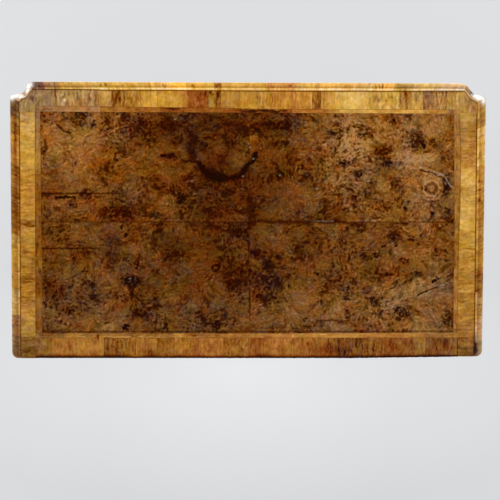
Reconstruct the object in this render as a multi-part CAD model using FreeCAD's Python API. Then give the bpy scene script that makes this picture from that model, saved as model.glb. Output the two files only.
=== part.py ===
import FreeCAD, Part
import math
import os

os.makedirs("parts", exist_ok=True)
V = FreeCAD.Vector

# A bureau mazarin: a desk top on two banks of drawers, with a cupboard set back in the kneehole.
# Millimetres. +Z is up, the front faces -Y, and the origin is on the floor under the middle of the top.

# Overall size
top_width = 1150.0
top_depth = 672.0
desk_height = 790.0

# Top: boards, veneers and the moulding round three sides
veneer = 2.0
board_thick = 24.0
moulding_width = 21.0
moulding_height = 28.0
cross_band = 39.0
back_cross_band = 50.0
inner_band = 13.0
back_inner_band = 12.0
# The cut corner, on the boards' edge: how far each point lies from the top's two outer edges
corner_points = [(21.0, 51.0), (41.0, 39.5), (55.0, 21.0)]

# Carcass
carcass_half = 545.0
carcass_front = -305.0
carcass_back = 330.0
floor_low = 372.0
floor_thick = 20.0
pedestal_inner = 195.0
inner_side_thick = 18.0
outer_side_thick = 20.0
back_thick = 12.0
stile_size = 46.0
stile_cant = 26.0
divider_thick = 16.0
drawer_openings = {"bottom": 112.0, "middle": 108.0, "top": 100.0}
rail_depth = 40.0
rail_thick = 20.0
apron_thick = 14.0
apron_drop = 34.0
apron_rise = 22.0
cupboard_front = 70.0
base_projection = 8.0
base_height = 18.0

# Legs, stretchers and feet
foot_height = 62.0
stretcher_thick = 26.0
leg_inset = 38.0
pad_size = 60.0
arm_width = 42.0
arm_sagitta = 16.0
disc_radius = 50.0
foot_tenon_radius = 11.0
foot_tenon_depth = 25.0
head_tenon_radius = 14.0
head_tenon_depth = 18.0
fit_gap = 0.05

# Drawers
front_thick = 20.0
face_veneer = 1.5
side_thick = 10.0
bottom_thick = 7.0
bottom_lift = 6.0
groove_depth = 4.0
lap = 7.0
tail_width = 22.0
tail_flare = 3.0
drawer_gap = 1.0
drawer_lift = 0.4
pedestal_drawer_length = 600.0
frieze_drawer_length = 560.0
guide_height = 12.0

# Handles and locks
post_spacing = 76.0
post_reach = 12.0
post_head_radius = 6.0
shank_radius = 2.5
bail_rod = 2.5
bail_pin = 1.8
bail_drop = 28.0
bail_corner = 18.0
bail_bead = 4.4
bail_eye_radius = 3.2
bail_half = post_spacing / 2 + post_head_radius + bail_eye_radius + 0.2
pin_gap = 0.1
handle_below_middle = 2.0
escutcheon_thick = 1.2
escutcheon_radius = 10.0
escutcheon_lobe = 6.0
keyhole_radius = 2.7
keyhole_slot = 2.6
keyhole_drop = 9.5
lock_size = (60.0, 9.0, 40.0)
drawer_bolt = (18.0, 4.0, 12.0)

# Cupboard door, its hinges, lock and key
door_thick = 20.0
door_gap = 2.0
door_lift = 1.0
hinge_axis_offset = 4.0
hinge_radius = 3.5
hinge_pin_radius = 1.6
hinge_height = 54.0
hinge_from_edge = 50.0
leaf_thick = 0.8
door_lock_size = (68.0, 11.0, 52.0)
door_bolt_size = (60.0, 5.0, 8.0)
bolt_above_key = 11.0
bolt_travel = 8.0
key_radius = 2.2
key_from_edge = 33.0
bit_reach = 8.5
bit_thick = 2.0
key_cavity = 9.4

# Levels that follow from the sizes above
board_low = desk_height - veneer - board_thick
board_top = desk_height - veneer
floor_high = floor_low + floor_thick
bottom_divider = floor_high + drawer_openings["bottom"]
middle_low = bottom_divider + divider_thick
top_divider = middle_low + drawer_openings["middle"]
top_low = top_divider + divider_thick
rail_low = top_low + drawer_openings["top"]
inside_back = carcass_back - back_thick
opening_inner = pedestal_inner + inner_side_thick
opening_outer = carcass_half - stile_size
leg_low = foot_height + stretcher_thick
leg_length = floor_low - leg_low
leg_places = {
    "outer": carcass_half - leg_inset,
    "inner": pedestal_inner + leg_inset,
    "front": carcass_front + leg_inset,
    "back": carcass_back - leg_inset,
}


def save(name, solids):
    """Writes one node. Every piece has to be a valid closed solid."""
    pieces = [piece for shape in solids for piece in shape.Solids]
    for piece in pieces:
        if not piece.isValid() or piece.Volume <= 0:
            raise ValueError(name + " holds a solid that is not valid")
    shape = pieces[0] if len(pieces) == 1 else Part.makeCompound(pieces)
    shape.exportStep("parts/" + name + ".step")
    print(name, len(pieces), "solids", round(sum(piece.Volume for piece in pieces) / 1000.0, 1), "cm3")


def block(x0, x1, y0, y1, z0, z1):
    return Part.makeBox(x1 - x0, y1 - y0, z1 - z0, V(x0, y0, z0))


def prism(points, z0, z1):
    """A plan outline, raised from z0 to z1."""
    corners = [V(x, y, z0) for x, y in points]
    return Part.Face(Part.makePolygon(corners + corners[:1])).extrude(V(0, 0, z1 - z0))


def outline(points, place):
    """A closed face. A point of two numbers ends a line, and one of four ends an arc through its first two."""
    edges = []
    here = points[0][-2:]
    for point in points[1:] + points[:1]:
        end = point[-2:]
        if len(point) == 4:
            edges.append(Part.Arc(place(*here), place(*point[:2]), place(*end)).toShape())
        elif math.dist(here, end) > 1e-6:
            edges.append(Part.makeLine(place(*here), place(*end)))
        here = end
    return Part.Face(Part.Wire(edges))


def turned(points, x=0.0, y=0.0):
    """A piece turned about a vertical axis at x, y. Its points are radius and height."""
    face = outline(points, lambda r, z: V(r, 0, z))
    return face.revolve(V(0, 0, 0), V(0, 0, 1), 360).translated(V(x, y, 0))


def rod(radius, start, end):
    """A round bar between two points."""
    along = end - start
    return Part.makeCylinder(radius, along.Length, start, along)


def mirrored(shape):
    """The same piece on the other half of the desk, across the plane x = 0."""
    return shape.mirror(V(0, 0, 0), V(1, 0, 0))


def unit(a, b):
    length = math.dist(a, b)
    return (b[0] - a[0]) / length, (b[1] - a[1]) / length


def moulding_run(path, profile, level):
    """Straight lengths of moulding along a plan path, mitred where they meet.

    The profile's points are the distance out from the path, to the right of the way along it, and the height.
    """
    far = 60.0
    ways = [unit(a, b) for a, b in zip(path, path[1:])]
    outs = [(dy, -dx) for dx, dy in ways]
    mitres = [outs[0]]
    for a, b in zip(outs, outs[1:]):
        share = 1.0 + a[0] * b[0] + a[1] * b[1]
        mitres.append(((a[0] + b[0]) / share, (a[1] + b[1]) / share))
    mitres.append(outs[-1])
    lengths = []
    for i, (way, out) in enumerate(zip(ways, outs)):
        start, end = path[i], path[i + 1]
        face = outline(profile, lambda u, v: V(start[0] + out[0] * u, start[1] + out[1] * u, level + v))
        face.translate(V(-way[0] * far, -way[1] * far, 0))
        bar = face.extrude(V(way[0], way[1], 0) * (math.dist(start, end) + 2 * far))
        keep = [
            (start[0], start[1]),
            (start[0] + mitres[i][0] * far, start[1] + mitres[i][1] * far),
            (end[0] + mitres[i + 1][0] * far, end[1] + mitres[i + 1][1] * far),
            (end[0], end[1]),
        ]
        lengths.append(bar.common(prism(keep, level - far, level + far)))
    return lengths


def board_edge():
    """The top's boards in plan, from the back left corner round the front to the back right one."""
    half, front, back = top_width / 2, -top_depth / 2, top_depth / 2
    left = [(-half + a, front + b) for a, b in corner_points]
    right = [(-x, y) for x, y in reversed(left)]
    return [(-half + moulding_width, back)] + left + right + [(half - moulding_width, back)]


def top():
    edge = board_edge()
    low, high = board_low, board_top
    whole = prism(edge, low, high)
    half, front, back = top_width / 2, -top_depth / 2, top_depth / 2
    seams = [front, front + top_depth / 3, back - top_depth / 3, back]
    boards = [whole.common(block(-half, half, a, b, low, high)) for a, b in zip(seams, seams[1:])]
    save("top_boards", boards)

    out_x = half - moulding_width
    band_x = out_x - cross_band
    band_front = front + moulding_width + cross_band
    band_back = back - back_cross_band
    front_strip = prism([(-out_x, band_front)] + edge[1:-1] + [(out_x, band_front)], high, desk_height)
    sides = [
        block(-out_x, -band_x, band_front, back, high, desk_height),
        block(band_x, out_x, band_front, back, high, desk_height),
    ]
    back_strip = block(-band_x, band_x, band_back, back, high, desk_height)
    save("top_cross_band", [front_strip] + sides + [back_strip])

    field_x = band_x - inner_band
    field_front = band_front + inner_band
    field_back = band_back - back_inner_band
    outer = [(-band_x, band_front), (band_x, band_front), (band_x, band_back), (-band_x, band_back)]
    inner = [(-field_x, field_front), (field_x, field_front), (field_x, field_back), (-field_x, field_back)]
    strips = []
    for i in range(4):
        j = (i + 1) % 4
        strips.append(prism([outer[i], outer[j], inner[j], inner[i]], high, desk_height))
    save("top_inner_band", strips)

    middle = (field_front + field_back) / 2
    leaves = [
        block(x0, x1, y0, y1, high, desk_height)
        for x0, x1 in [(-field_x, 0), (0, field_x)]
        for y0, y1 in [(field_front, middle), (middle, field_back)]
    ]
    save("top_burr_veneer", leaves)

    # A lip level with the veneer, a quirk, an ovolo that swells outwards, and a hollow under it
    profile = [
        (0, -moulding_height),
        (0, 0),
        (2.4, 0),
        (3.2, -0.4, 3.4, -1.2),
        (3.4, -2.6),
        (5.6, -2.6),
        (16.0, -5.4, moulding_width, -13.0),
        (moulding_width, -16.0),
        (19.0, -17.0),
        (13.0, -19.4, 10.0, -26.0),
        (8.0, -26.0),
        (8.0, -moulding_height),
    ]
    save("top_edge_moulding", moulding_run(edge, profile, desk_height))


def plan_of_pedestal():
    """The right pedestal in plan, from its inner back corner round the front to its outer back corner."""
    front, half = carcass_front, carcass_half
    return [
        (pedestal_inner, carcass_back),
        (pedestal_inner, front),
        (half - stile_cant, front),
        (half, front + stile_cant),
        (half, carcass_back),
    ]


def leg_tenon_holes():
    """The heads of the right pedestal's four legs, where they enter its floor."""
    return [
        rod(head_tenon_radius + fit_gap, V(x, y, floor_low), V(x, y, floor_low + head_tenon_depth))
        for x in (leg_places["outer"], leg_places["inner"])
        for y in (leg_places["front"], leg_places["back"])
    ]


def carcass():
    floor = prism(plan_of_pedestal(), floor_low, floor_high).cut(Part.makeCompound(leg_tenon_holes()))
    middle_floor = block(-pedestal_inner, pedestal_inner, cupboard_front, carcass_back, floor_low, floor_high)
    save("floor_boards", [floor, mirrored(floor), middle_floor])

    cant_end = carcass_front + stile_cant
    stile_back = carcass_front + stile_size
    stile = prism(
        [
            (opening_outer, carcass_front),
            (carcass_half - stile_cant, carcass_front),
            (carcass_half, cant_end),
            (carcass_half, stile_back),
            (opening_outer, stile_back),
        ],
        floor_high,
        board_low,
    )
    panel = block(
        carcass_half - outer_side_thick, carcass_half, stile_back, inside_back, floor_high, board_low
    )
    save("right_outer_side", [panel, stile])
    save("left_outer_side", [mirrored(panel), mirrored(stile)])

    inner = block(pedestal_inner, opening_inner, carcass_front, inside_back, floor_high, board_low)
    save("left_inner_side", [mirrored(inner)])
    save("right_inner_side", [inner.cut(bolt_mortise())])

    backs = [
        block(x0, x1, inside_back, carcass_back, floor_high, board_low)
        for x0, x1 in [
            (-carcass_half, -pedestal_inner),
            (-pedestal_inner, pedestal_inner),
            (pedestal_inner, carcass_half),
        ]
    ]
    save("back_boards", backs)

    dividers = []
    guides = []
    guide_floors = [floor_high, middle_low, top_low]
    around_stile = block(
        opening_outer, carcass_half, carcass_front, carcass_front + stile_size, bottom_divider, top_low
    )
    for level in (bottom_divider, top_divider):
        board = block(
            opening_inner,
            carcass_half - outer_side_thick,
            carcass_front,
            inside_back,
            level,
            level + divider_thick,
        ).cut(around_stile)
        dividers += [board, mirrored(board)]
    for level in guide_floors:
        guide = block(
            opening_outer,
            carcass_half - outer_side_thick,
            stile_back,
            inside_back,
            level,
            level + guide_height,
        )
        guides += [guide, mirrored(guide)]
    ceiling = block(
        -pedestal_inner, pedestal_inner, carcass_front, inside_back, top_divider, top_divider + divider_thick
    )
    save("dust_boards_and_guides", dividers + guides + [ceiling])

    rails = []
    spans = [(-opening_outer, -opening_inner), (-pedestal_inner, pedestal_inner), (opening_inner, opening_outer)]
    for x0, x1 in spans:
        rails.append(block(x0, x1, carcass_front, carcass_front + rail_depth, rail_low, board_low))
        rails.append(block(x0, x1, inside_back - rail_depth, inside_back, rail_low, board_low))
    head_back = cupboard_front + door_thick
    head_low = top_divider - apron_drop
    rails.append(block(-pedestal_inner, pedestal_inner, cupboard_front, head_back, head_low, top_divider))
    save("carcass_rails", rails)

    # The apron hangs under the frieze drawer, with a flat arch between two hollow ends
    high, low = top_divider, top_divider - apron_drop
    arch = low + apron_rise
    shape = [
        (-pedestal_inner, high),
        (-pedestal_inner, low),
        (-165.0, low),
        (-152.0, low + 5.0, -147.0, arch - 4.0),
        (0.0, arch + 4.0, 147.0, arch - 4.0),
        (152.0, low + 5.0, 165.0, low),
        (pedestal_inner, low),
        (pedestal_inner, high),
    ]
    face = outline(shape, lambda x, z: V(x, carcass_front + 2.0, z))
    save("kneehole_apron", [face.extrude(V(0, apron_thick, 0))])

    # One run of moulding: left pedestal, the cupboard's front edge, right pedestal
    right = plan_of_pedestal()
    right[0] = (pedestal_inner, cupboard_front)
    left = [(-x, y) for x, y in reversed(right)]
    profile = [
        (0, 0),
        (base_projection, 0),
        (base_projection, 7.0),
        (6.5, 8.5),
        (3.0, 9.5, 2.2, 14.0),
        (2.2, base_height),
        (0, base_height),
    ]
    save("base_moulding", moulding_run(left + right, profile, floor_low))


def leg(x, y):
    """A square leg: its outline, cut from the front and again from the side, and a round tenon at each end."""
    half = [
        (22, 0),
        (22, 12),
        (20, 12),
        (20, 15),
        (15.4, 18.6, 14, 26),
        (25, 200),
        (28, 200),
        (30.5, 204, 28, 208),
        (24, 208),
        (20, 211),
        (20, 226),
        (21.6, 239.5, 28, 246),
        (28, 250),
        (29, 250),
        (29, leg_length),
    ]
    other = []
    for point, after in zip(reversed(half), [None] + list(reversed(half))):
        arc = after[:2] if after and len(after) == 4 else None
        end = (-point[-2], point[-1])
        other.append((-arc[0], arc[1]) + end if arc else end)
    face = outline(half + other, lambda u, z: V(u, -100, z))
    across = face.extrude(V(0, 200, 0))
    along = across.rotated(V(0, 0, 0), V(0, 0, 1), 90)
    shaft = across.common(along)
    foot_tenon = rod(foot_tenon_radius, V(0, 0, -stretcher_thick - foot_tenon_depth), V(0, 0, 0))
    head_tenon = rod(head_tenon_radius, V(0, 0, leg_length), V(0, 0, leg_length + head_tenon_depth - 0.5))
    return shaft.fuse([foot_tenon, head_tenon]).removeSplitter().translated(V(x, y, leg_low))


def s_shaped_arm(reach_x, reach_y):
    """A stretcher's arm in plan, from the middle to the leg: two equal arcs that bend opposite ways."""
    centre, end = (0.0, 0.0), (reach_x, reach_y)
    middle = (reach_x / 2, reach_y / 2)
    chord = math.dist(centre, middle)
    radius = (chord * chord / 4 + arm_sagitta * arm_sagitta) / (2 * arm_sagitta)
    dx, dy = unit(centre, end)
    side = (dy, -dx)
    rows = {}
    for offset in (arm_width / 2, -arm_width / 2):
        rows[offset] = []
        for a, b, bend in [(centre, middle, 1), (middle, end, -1)]:
            hub = [(p + q) / 2 - bend * s * (radius - arm_sagitta) for p, q, s in zip(a, b, side)]
            size = radius + bend * offset
            ends = [tuple(h + (p - h) / radius * size for h, p in zip(hub, point)) for point in (a, b)]
            crown = tuple(h + bend * s * size for h, s in zip(hub, side))
            rows[offset].append((ends[0], crown, ends[1]))
    near, far = rows[arm_width / 2], rows[-arm_width / 2]
    points = [near[0][0], near[0][1] + near[0][2], near[1][1] + near[1][2]]
    points += [far[1][2], far[1][1] + far[1][0], far[0][1] + far[0][0]]
    face = outline(points, lambda x, y: V(x, y, foot_height))
    return face.extrude(V(0, 0, stretcher_thick))


def stretcher():
    """The right pedestal's stretcher: four arms, a disc in the middle and a turned finial on it."""
    middle_x = (leg_places["outer"] + leg_places["inner"]) / 2
    middle_y = (leg_places["front"] + leg_places["back"]) / 2
    reach_x = (leg_places["outer"] - leg_places["inner"]) / 2
    reach_y = (leg_places["back"] - leg_places["front"]) / 2
    low, high = foot_height, foot_height + stretcher_thick
    disc = rod(disc_radius, V(0, 0, low), V(0, 0, high))
    half = pad_size / 2
    corner = 8.0
    octagon = [(half, half - corner), (half - corner, half)]
    octagon += [(-y, x) for x, y in octagon]
    octagon += [(-x, -y) for x, y in octagon]
    pieces = [disc]
    for sign_x in (1, -1):
        for sign_y in (1, -1):
            arm = s_shaped_arm(reach_x, reach_y)
            if sign_x < 0:
                arm = mirrored(arm)
            if sign_y < 0:
                arm = arm.mirror(V(0, 0, 0), V(0, 1, 0))
            end = V(sign_x * reach_x, sign_y * reach_y, 0)
            pad = prism([(end.x + x, end.y + y) for x, y in octagon], low, high)
            hole = rod(foot_tenon_radius + fit_gap, end + V(0, 0, low), end + V(0, 0, high))
            pieces.append(arm.cut(disc).fuse(pad).removeSplitter().cut(hole))
    ball, neck = 10.5, 8.0
    ball_middle = high + 48 + math.sqrt(ball * ball - neck * neck)
    finial = turned(
        [
            (0, high),
            (22, high),
            (22, high + 4),
            (12.5, high + 7.5, 10, high + 14.84),
            (19, high + 31, 13, high + 44.86),
            (neck, high + 48),
            (ball, ball_middle, 0, ball_middle + ball),
        ]
    )
    pieces.append(finial)
    return [piece.translated(V(middle_x, middle_y, 0)) for piece in pieces]


def undercarriage():
    pieces = stretcher()
    save("right_stretcher", pieces)
    save("left_stretcher", [mirrored(piece) for piece in pieces])
    feet = []
    for hand, sign in [("left", -1), ("right", 1)]:
        for depth in ("front", "back"):
            for place in ("inner", "outer"):
                x, y = sign * leg_places[place], leg_places[depth]
                save(hand + "_" + depth + "_" + place + "_leg", [leg(x, y)])
                ball = turned(
                    [
                        (0, 0),
                        (20, 0),
                        (36, 25, 21, 46),
                        (17, 48),
                        (17, 51),
                        (24, 53),
                        (26, 57.5, 24, foot_height),
                        (0, foot_height),
                    ],
                    x,
                    y,
                )
                hole = rod(
                    foot_tenon_radius + fit_gap,
                    V(x, y, foot_height - foot_tenon_depth),
                    V(x, y, foot_height),
                )
                feet.append(ball.cut(hole))
    save("ball_feet", feet)


def keyhole(x, z, y0, y1):
    """A keyhole through y0 to y1: a round hole and the slot under it."""
    hole = rod(keyhole_radius, V(x, y0, z), V(x, y1, z))
    return hole.fuse(block(x - keyhole_slot / 2, x + keyhole_slot / 2, y0, y1, z - keyhole_drop, z))


def escutcheon(x, y, z):
    """A brass plate of three lobes round a keyhole, whose back lies on a face at y."""
    plate = rod(escutcheon_radius, V(x, y - escutcheon_thick, z), V(x, y, z))
    for lift in (-11.0, 11.0):
        plate = plate.fuse(rod(escutcheon_lobe, V(x, y - escutcheon_thick, z + lift), V(x, y, z + lift)))
    return plate.removeSplitter().cut(keyhole(x, z + 2.0, y - escutcheon_thick, y))


def handle_post(x, y, z):
    """A post through a drawer front at y, with its rose in front and its nut behind. Its eye holds the bail."""
    head = V(x, y - post_reach, z)
    post = rod(shank_radius, head, V(x, y + front_thick + 6.0, z))
    post = post.fuse([Part.makeSphere(post_head_radius, head), rod(4.0, head, V(x, y - 2.0, z))])
    eye = rod(bail_pin + pin_gap, head - V(10, 0, 0), head + V(10, 0, 0))
    rose = turned([(0, 0), (12, 0), (12, 1.0), (9.5, 3.2, 5.5, 2.0), (0, 2.0)])
    rose = rose.rotated(V(0, 0, 0), V(1, 0, 0), 90).translated(V(x, y, z))
    nut_back = V(x, y + front_thick, z)
    nut = rod(6.5, nut_back, nut_back + V(0, 4.0, 0))
    bore = rod(shank_radius, nut_back, nut_back + V(0, 4.0, 0))
    post = post.cut(eye)
    return [post, rose.cut(post), nut.cut(bore)]


def bail(x, y, z):
    """A hanging handle: a turned bar between two bends, whose arms end in eyes with pins turned inwards."""
    half, low, r = bail_half, -bail_drop, bail_corner
    along = V(1, 0, 0)
    side = [
        (r - half, 0),
        (r - half, bail_rod),
        (-13.0, bail_rod),
        (-11.0, bail_rod + 0.9, -9.0, bail_rod),
        (-4.0, bail_rod),
        (0.0, bail_bead, 4.0, bail_rod),
        (9.0, bail_rod),
        (11.0, bail_rod + 0.9, 13.0, bail_rod),
        (half - r, bail_rod),
        (half - r, 0),
    ]
    bar = outline(side, lambda u, v: V(u, 0, low + v)).revolve(V(0, 0, low), along, 360)
    neck = half - math.sqrt(bail_eye_radius**2 - bail_pin**2)
    pin_end = post_spacing / 2 - 5.0
    side = [
        (half + bail_eye_radius, 0),
        (half, bail_eye_radius, neck, bail_pin),
        (pin_end, bail_pin),
        (pin_end, 0),
    ]
    eye = outline(side, lambda u, v: V(u, 0, v)).revolve(V(0, 0, 0), along, 360)
    end = V(half, 0, low + r)
    section = Part.Face(Part.Wire(Part.makeCircle(bail_rod, end, V(0, 0, 1))))
    bend = section.revolve(V(half - r, 0, low + r), V(0, 1, 0), 90)
    arm = eye.fuse([rod(bail_rod, end, V(half, 0, 0)), bend])
    return bar.fuse([arm, mirrored(arm)]).removeSplitter().translated(V(x, y - post_reach, z))


def dovetails(x0, x1, root, tip, z0, z1):
    """Two tails on a drawer side, from their root to their tip along y."""
    tails = []
    half = tail_width / 2
    flare = tail_flare
    for share in (0.27, 0.73):
        middle = z0 + (z1 - z0) * share
        corners = [
            V(x0, root, middle - half),
            V(x0, root, middle + half),
            V(x0, tip, middle + half + flare),
            V(x0, tip, middle - half - flare),
        ]
        tails.append(Part.Face(Part.makePolygon(corners + corners[:1])).extrude(V(x1 - x0, 0, 0)))
    return tails


def drawer(name, x0, x1, z0, z1, length):
    """A drawer in the opening x0 to x1 and z0 to z1: its front, its box, its brass and its bail."""
    x0, x1 = x0 + drawer_gap, x1 - drawer_gap
    z0, z1 = z0 + drawer_lift, z1 - drawer_gap
    y0 = carcass_front
    inside, back = y0 + front_thick, y0 + length
    back_inside = back - side_thick
    middle = (x0 + x1) / 2
    side_top = z1 - 2.0

    sides = []
    tails = []
    for a, b in [(x0, x0 + side_thick), (x1 - side_thick, x1)]:
        board = block(a, b, inside, back_inside, z0, side_top)
        cut_in = dovetails(a, b, inside, y0 + lap, z0, side_top)
        cut_in += dovetails(a, b, back_inside, back, z0, side_top)
        tails += cut_in
        sides.append(board.fuse(cut_in).removeSplitter())
    bottom_low = z0 + bottom_lift
    bottom = block(
        x0 + side_thick - groove_depth,
        x1 - side_thick + groove_depth,
        inside - groove_depth,
        back_inside,
        bottom_low,
        bottom_low + bottom_thick,
    )
    back_board = block(x0, x1, back_inside, back, z0, side_top)

    lock_x, lock_y, lock_z = lock_size
    lock_top = z1
    case = block(middle - lock_x / 2, middle + lock_x / 2, inside - lock_y, inside, lock_top - lock_z, lock_top)
    bolt_x, bolt_y, bolt_z = drawer_bolt
    bolt_back = inside - lock_y / 2 + bolt_y / 2
    bolt = block(
        middle - bolt_x / 2, middle + bolt_x / 2, bolt_back - bolt_y, bolt_back, lock_top - bolt_z, lock_top
    )
    key_z = lock_top - 26.0
    hole = keyhole(middle, key_z + 2.0, y0, inside - lock_y)

    handle_z = (z0 + z1) / 2 - handle_below_middle
    posts = []
    shanks = []
    for sign in (-1, 1):
        x = middle + sign * post_spacing / 2
        posts += handle_post(x, y0, handle_z)
        shanks.append(rod(shank_radius, V(x, y0, handle_z), V(x, inside, handle_z)))

    cuts = Part.makeCompound(tails + [bottom, case, hole] + shanks)
    core = block(x0, x1, y0 + face_veneer, inside, z0, z1).cut(cuts)
    face = block(x0, x1, y0, y0 + face_veneer, z0, z1).cut(Part.makeCompound([hole] + shanks))
    save(name + "_front", [core, face])
    boards = [side.cut(bottom) for side in sides]
    save(name + "_box", boards + [back_board.cut(Part.makeCompound(tails)), bottom])
    save(name + "_fittings", posts + [escutcheon(middle, y0, key_z), case.cut(bolt), bolt])
    save(name + "_bail", [bail(middle, y0, handle_z)])


def drawers():
    openings = [("bottom", floor_high), ("middle", middle_low), ("top", top_low)]
    for level, low in openings:
        high = low + drawer_openings[level]
        for hand, ends in [("left", (-opening_outer, -opening_inner)), ("right", (opening_inner, opening_outer))]:
            drawer(hand + "_" + level + "_drawer", *ends, low, high, pedestal_drawer_length)
    drawer("frieze_drawer", -pedestal_inner, pedestal_inner, top_low, rail_low, frieze_drawer_length)


# The door passes under the apron, so a head rail closes the cupboard above it.
# The door's own levels, its key's place and its hinge axis
door_low = floor_high + door_lift
door_high = top_divider - apron_drop - 2.0
door_left = -pedestal_inner + door_gap
door_right = pedestal_inner - door_gap
key_x = door_right - key_from_edge
key_z = (door_low + door_high) / 2
hinge_x = -pedestal_inner + hinge_axis_offset
hinge_y = cupboard_front - hinge_axis_offset
bolt_y = cupboard_front + door_thick + 1.5
bolt_z = key_z + bolt_above_key


def bolt_bar(grow, reach):
    """The door bolt's bar, larger all round by grow, with its nose reach past the door's edge."""
    length, thick, high = door_bolt_size
    return block(
        door_right - length - grow,
        door_right + reach,
        bolt_y - grow,
        bolt_y + thick + grow,
        bolt_z - grow,
        bolt_z + high + grow,
    )


def bolt_mortise():
    """The pocket in the right inner side that the thrown bolt enters."""
    slack = 0.8
    return bolt_bar(slack, door_gap + bolt_travel)


def hinge(middle):
    """A butt hinge at a height: the part on the carcass, and the part on the door."""
    third = hinge_height / 3
    low = middle - hinge_height / 2
    axis = V(hinge_x, hinge_y, low)
    up = V(0, 0, 1)
    wall = -pedestal_inner
    clear = 0.15
    back = cupboard_front + door_thick - 1.0
    fixed_leaf = block(wall, wall + leaf_thick, hinge_y, back, low, low + hinge_height)
    knuckles = [
        Part.makeCylinder(hinge_radius, third - clear, axis, up),
        Part.makeCylinder(hinge_radius, third - clear, axis + V(0, 0, 2 * third + clear), up),
    ]
    room = Part.makeCylinder(hinge_radius + 0.3, third + 2 * clear, axis + V(0, 0, third - clear), up)
    pin = Part.makeCylinder(hinge_pin_radius, hinge_height, axis, up)
    fixed = fixed_leaf.fuse(knuckles).cut(room).fuse(pin)

    moving = Part.makeCylinder(hinge_radius, third - clear, axis + V(0, 0, third + clear / 2), up)
    moving_leaf = block(
        door_left - leaf_thick, door_left, hinge_y, back, low + third + clear / 2, low + 2 * third - clear / 2
    )
    bore = Part.makeCylinder(hinge_pin_radius + pin_gap, hinge_height, axis, up)
    return fixed, moving.fuse(moving_leaf).cut(bore)


def cupboard():
    front = cupboard_front
    back = front + door_thick
    hole = keyhole(key_x, key_z, front - 5, back)
    board = block(door_left, door_right, front + face_veneer, back, door_low, door_high).cut(hole)
    face = block(door_left, door_right, front, front + face_veneer, door_low, door_high).cut(hole)
    save("cupboard_door", [board, face])

    pairs = [hinge(door_low + hinge_from_edge), hinge(door_high - hinge_from_edge)]
    save("carcass_hinge_leaves", [fixed for fixed, moving in pairs])
    save("door_hinge_leaves", [moving for fixed, moving in pairs])

    length, thick, high = door_lock_size
    case = block(door_right - length, door_right, back, back + thick, key_z - 22.0, key_z - 22.0 + high)
    cavity = rod(key_cavity, V(key_x, back - 1, key_z), V(key_x, back + thick - 1.5, key_z))
    case = case.cut(Part.makeCompound([cavity, bolt_bar(0.3, bolt_travel)]))
    save("door_lock", [case, escutcheon(key_x, front, key_z - 2.0)])
    save("door_bolt", [bolt_bar(0.0, 0.0)])

    bow = Part.makeTorus(8.5, 2.2, V(key_x, front - 24.0, key_z), V(1, 0, 0))
    shaft = rod(key_radius, V(key_x, front - 15.0, key_z), V(key_x, back + thick - 2.5, key_z))
    collar = rod(3.6, V(key_x, front - 14.0, key_z), V(key_x, front - 11.0, key_z))
    half = bit_thick / 2
    bit = block(
        key_x - half, key_x + half, back + 1.0, back + thick - 2.5, key_z - bit_reach, key_z - key_radius + 0.5
    )
    save("door_key", [bow.fuse([shaft, collar, bit])])


top()
carcass()
undercarriage()
drawers()
cupboard()
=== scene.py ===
import math

import bpy
import numpy as np
from mathutils import Matrix


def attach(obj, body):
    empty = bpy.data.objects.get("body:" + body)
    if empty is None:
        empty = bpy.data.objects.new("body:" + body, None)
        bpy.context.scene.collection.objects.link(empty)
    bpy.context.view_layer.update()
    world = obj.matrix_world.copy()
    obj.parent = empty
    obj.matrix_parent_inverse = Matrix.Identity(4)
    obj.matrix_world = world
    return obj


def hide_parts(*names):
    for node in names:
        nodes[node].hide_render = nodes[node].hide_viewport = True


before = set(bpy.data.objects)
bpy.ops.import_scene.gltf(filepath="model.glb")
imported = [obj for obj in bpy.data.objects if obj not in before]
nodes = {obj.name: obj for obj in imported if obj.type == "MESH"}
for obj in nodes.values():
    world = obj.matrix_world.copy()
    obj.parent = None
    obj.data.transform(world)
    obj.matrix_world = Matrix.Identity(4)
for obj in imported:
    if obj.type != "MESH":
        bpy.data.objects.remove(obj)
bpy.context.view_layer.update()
scene = bpy.context.scene
print("frame loaded:", len(nodes), "nodes")


# Small tools

def srgb(r, g, b):
    # A colour of 0 to 255 made linear: ((c + 0.055) / 1.055) to the power 2.4, or c / 12.92 where it is dark
    c = np.array([r, g, b]) / 255
    line = np.where(c <= 0.04045, c / 12.92, ((c + 0.055) / 1.055) ** 2.4)
    return (*line.tolist(), 1.0)


def cloud(x, y, size, seed):
    # Gradient noise: the dot products with a random direction at each corner of a turned lattice,
    # joined by 6t^5 - 15t^4 + 10t^3
    turn = seed * 0.77
    u = (x * math.cos(turn) - y * math.sin(turn)) / size + 61.3
    v = (x * math.sin(turn) + y * math.cos(turn)) / size + 83.9
    angle = np.random.RandomState(seed).uniform(0, 2 * math.pi, (128, 128))
    i, j = np.floor(u).astype(int), np.floor(v).astype(int)
    a, b = u - i, v - j

    def corner(di, dj):
        turned = angle[(i + di) % 128, (j + dj) % 128]
        return np.cos(turned) * (a - di) + np.sin(turned) * (b - dj)

    s = a * a * a * (a * (a * 6 - 15) + 10)
    t = b * b * b * (b * (b * 6 - 15) + 10)
    low = corner(0, 0) * (1 - s) + corner(1, 0) * s
    high = corner(0, 1) * (1 - s) + corner(1, 1) * s
    return (low * (1 - t) + high * t) * 1.5


def layers(x, y, size, count, keep, seed):
    # Clouds of half the size each time, each keep times as strong as the one before
    return sum(keep ** k * cloud(x, y, size / 2 ** k, seed + k) for k in range(count))


def ease(x):
    # 3x^2 - 2x^3 between 0 and 1
    x = np.clip(x, 0, 1)
    return x * x * (3 - 2 * x)


def hill(x, y, mx, my, rx, ry):
    # exp(-(dx / rx)^2 - (dy / ry)^2)
    return np.exp(-(((x - mx) / rx) ** 2) - ((y - my) / ry) ** 2)


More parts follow.
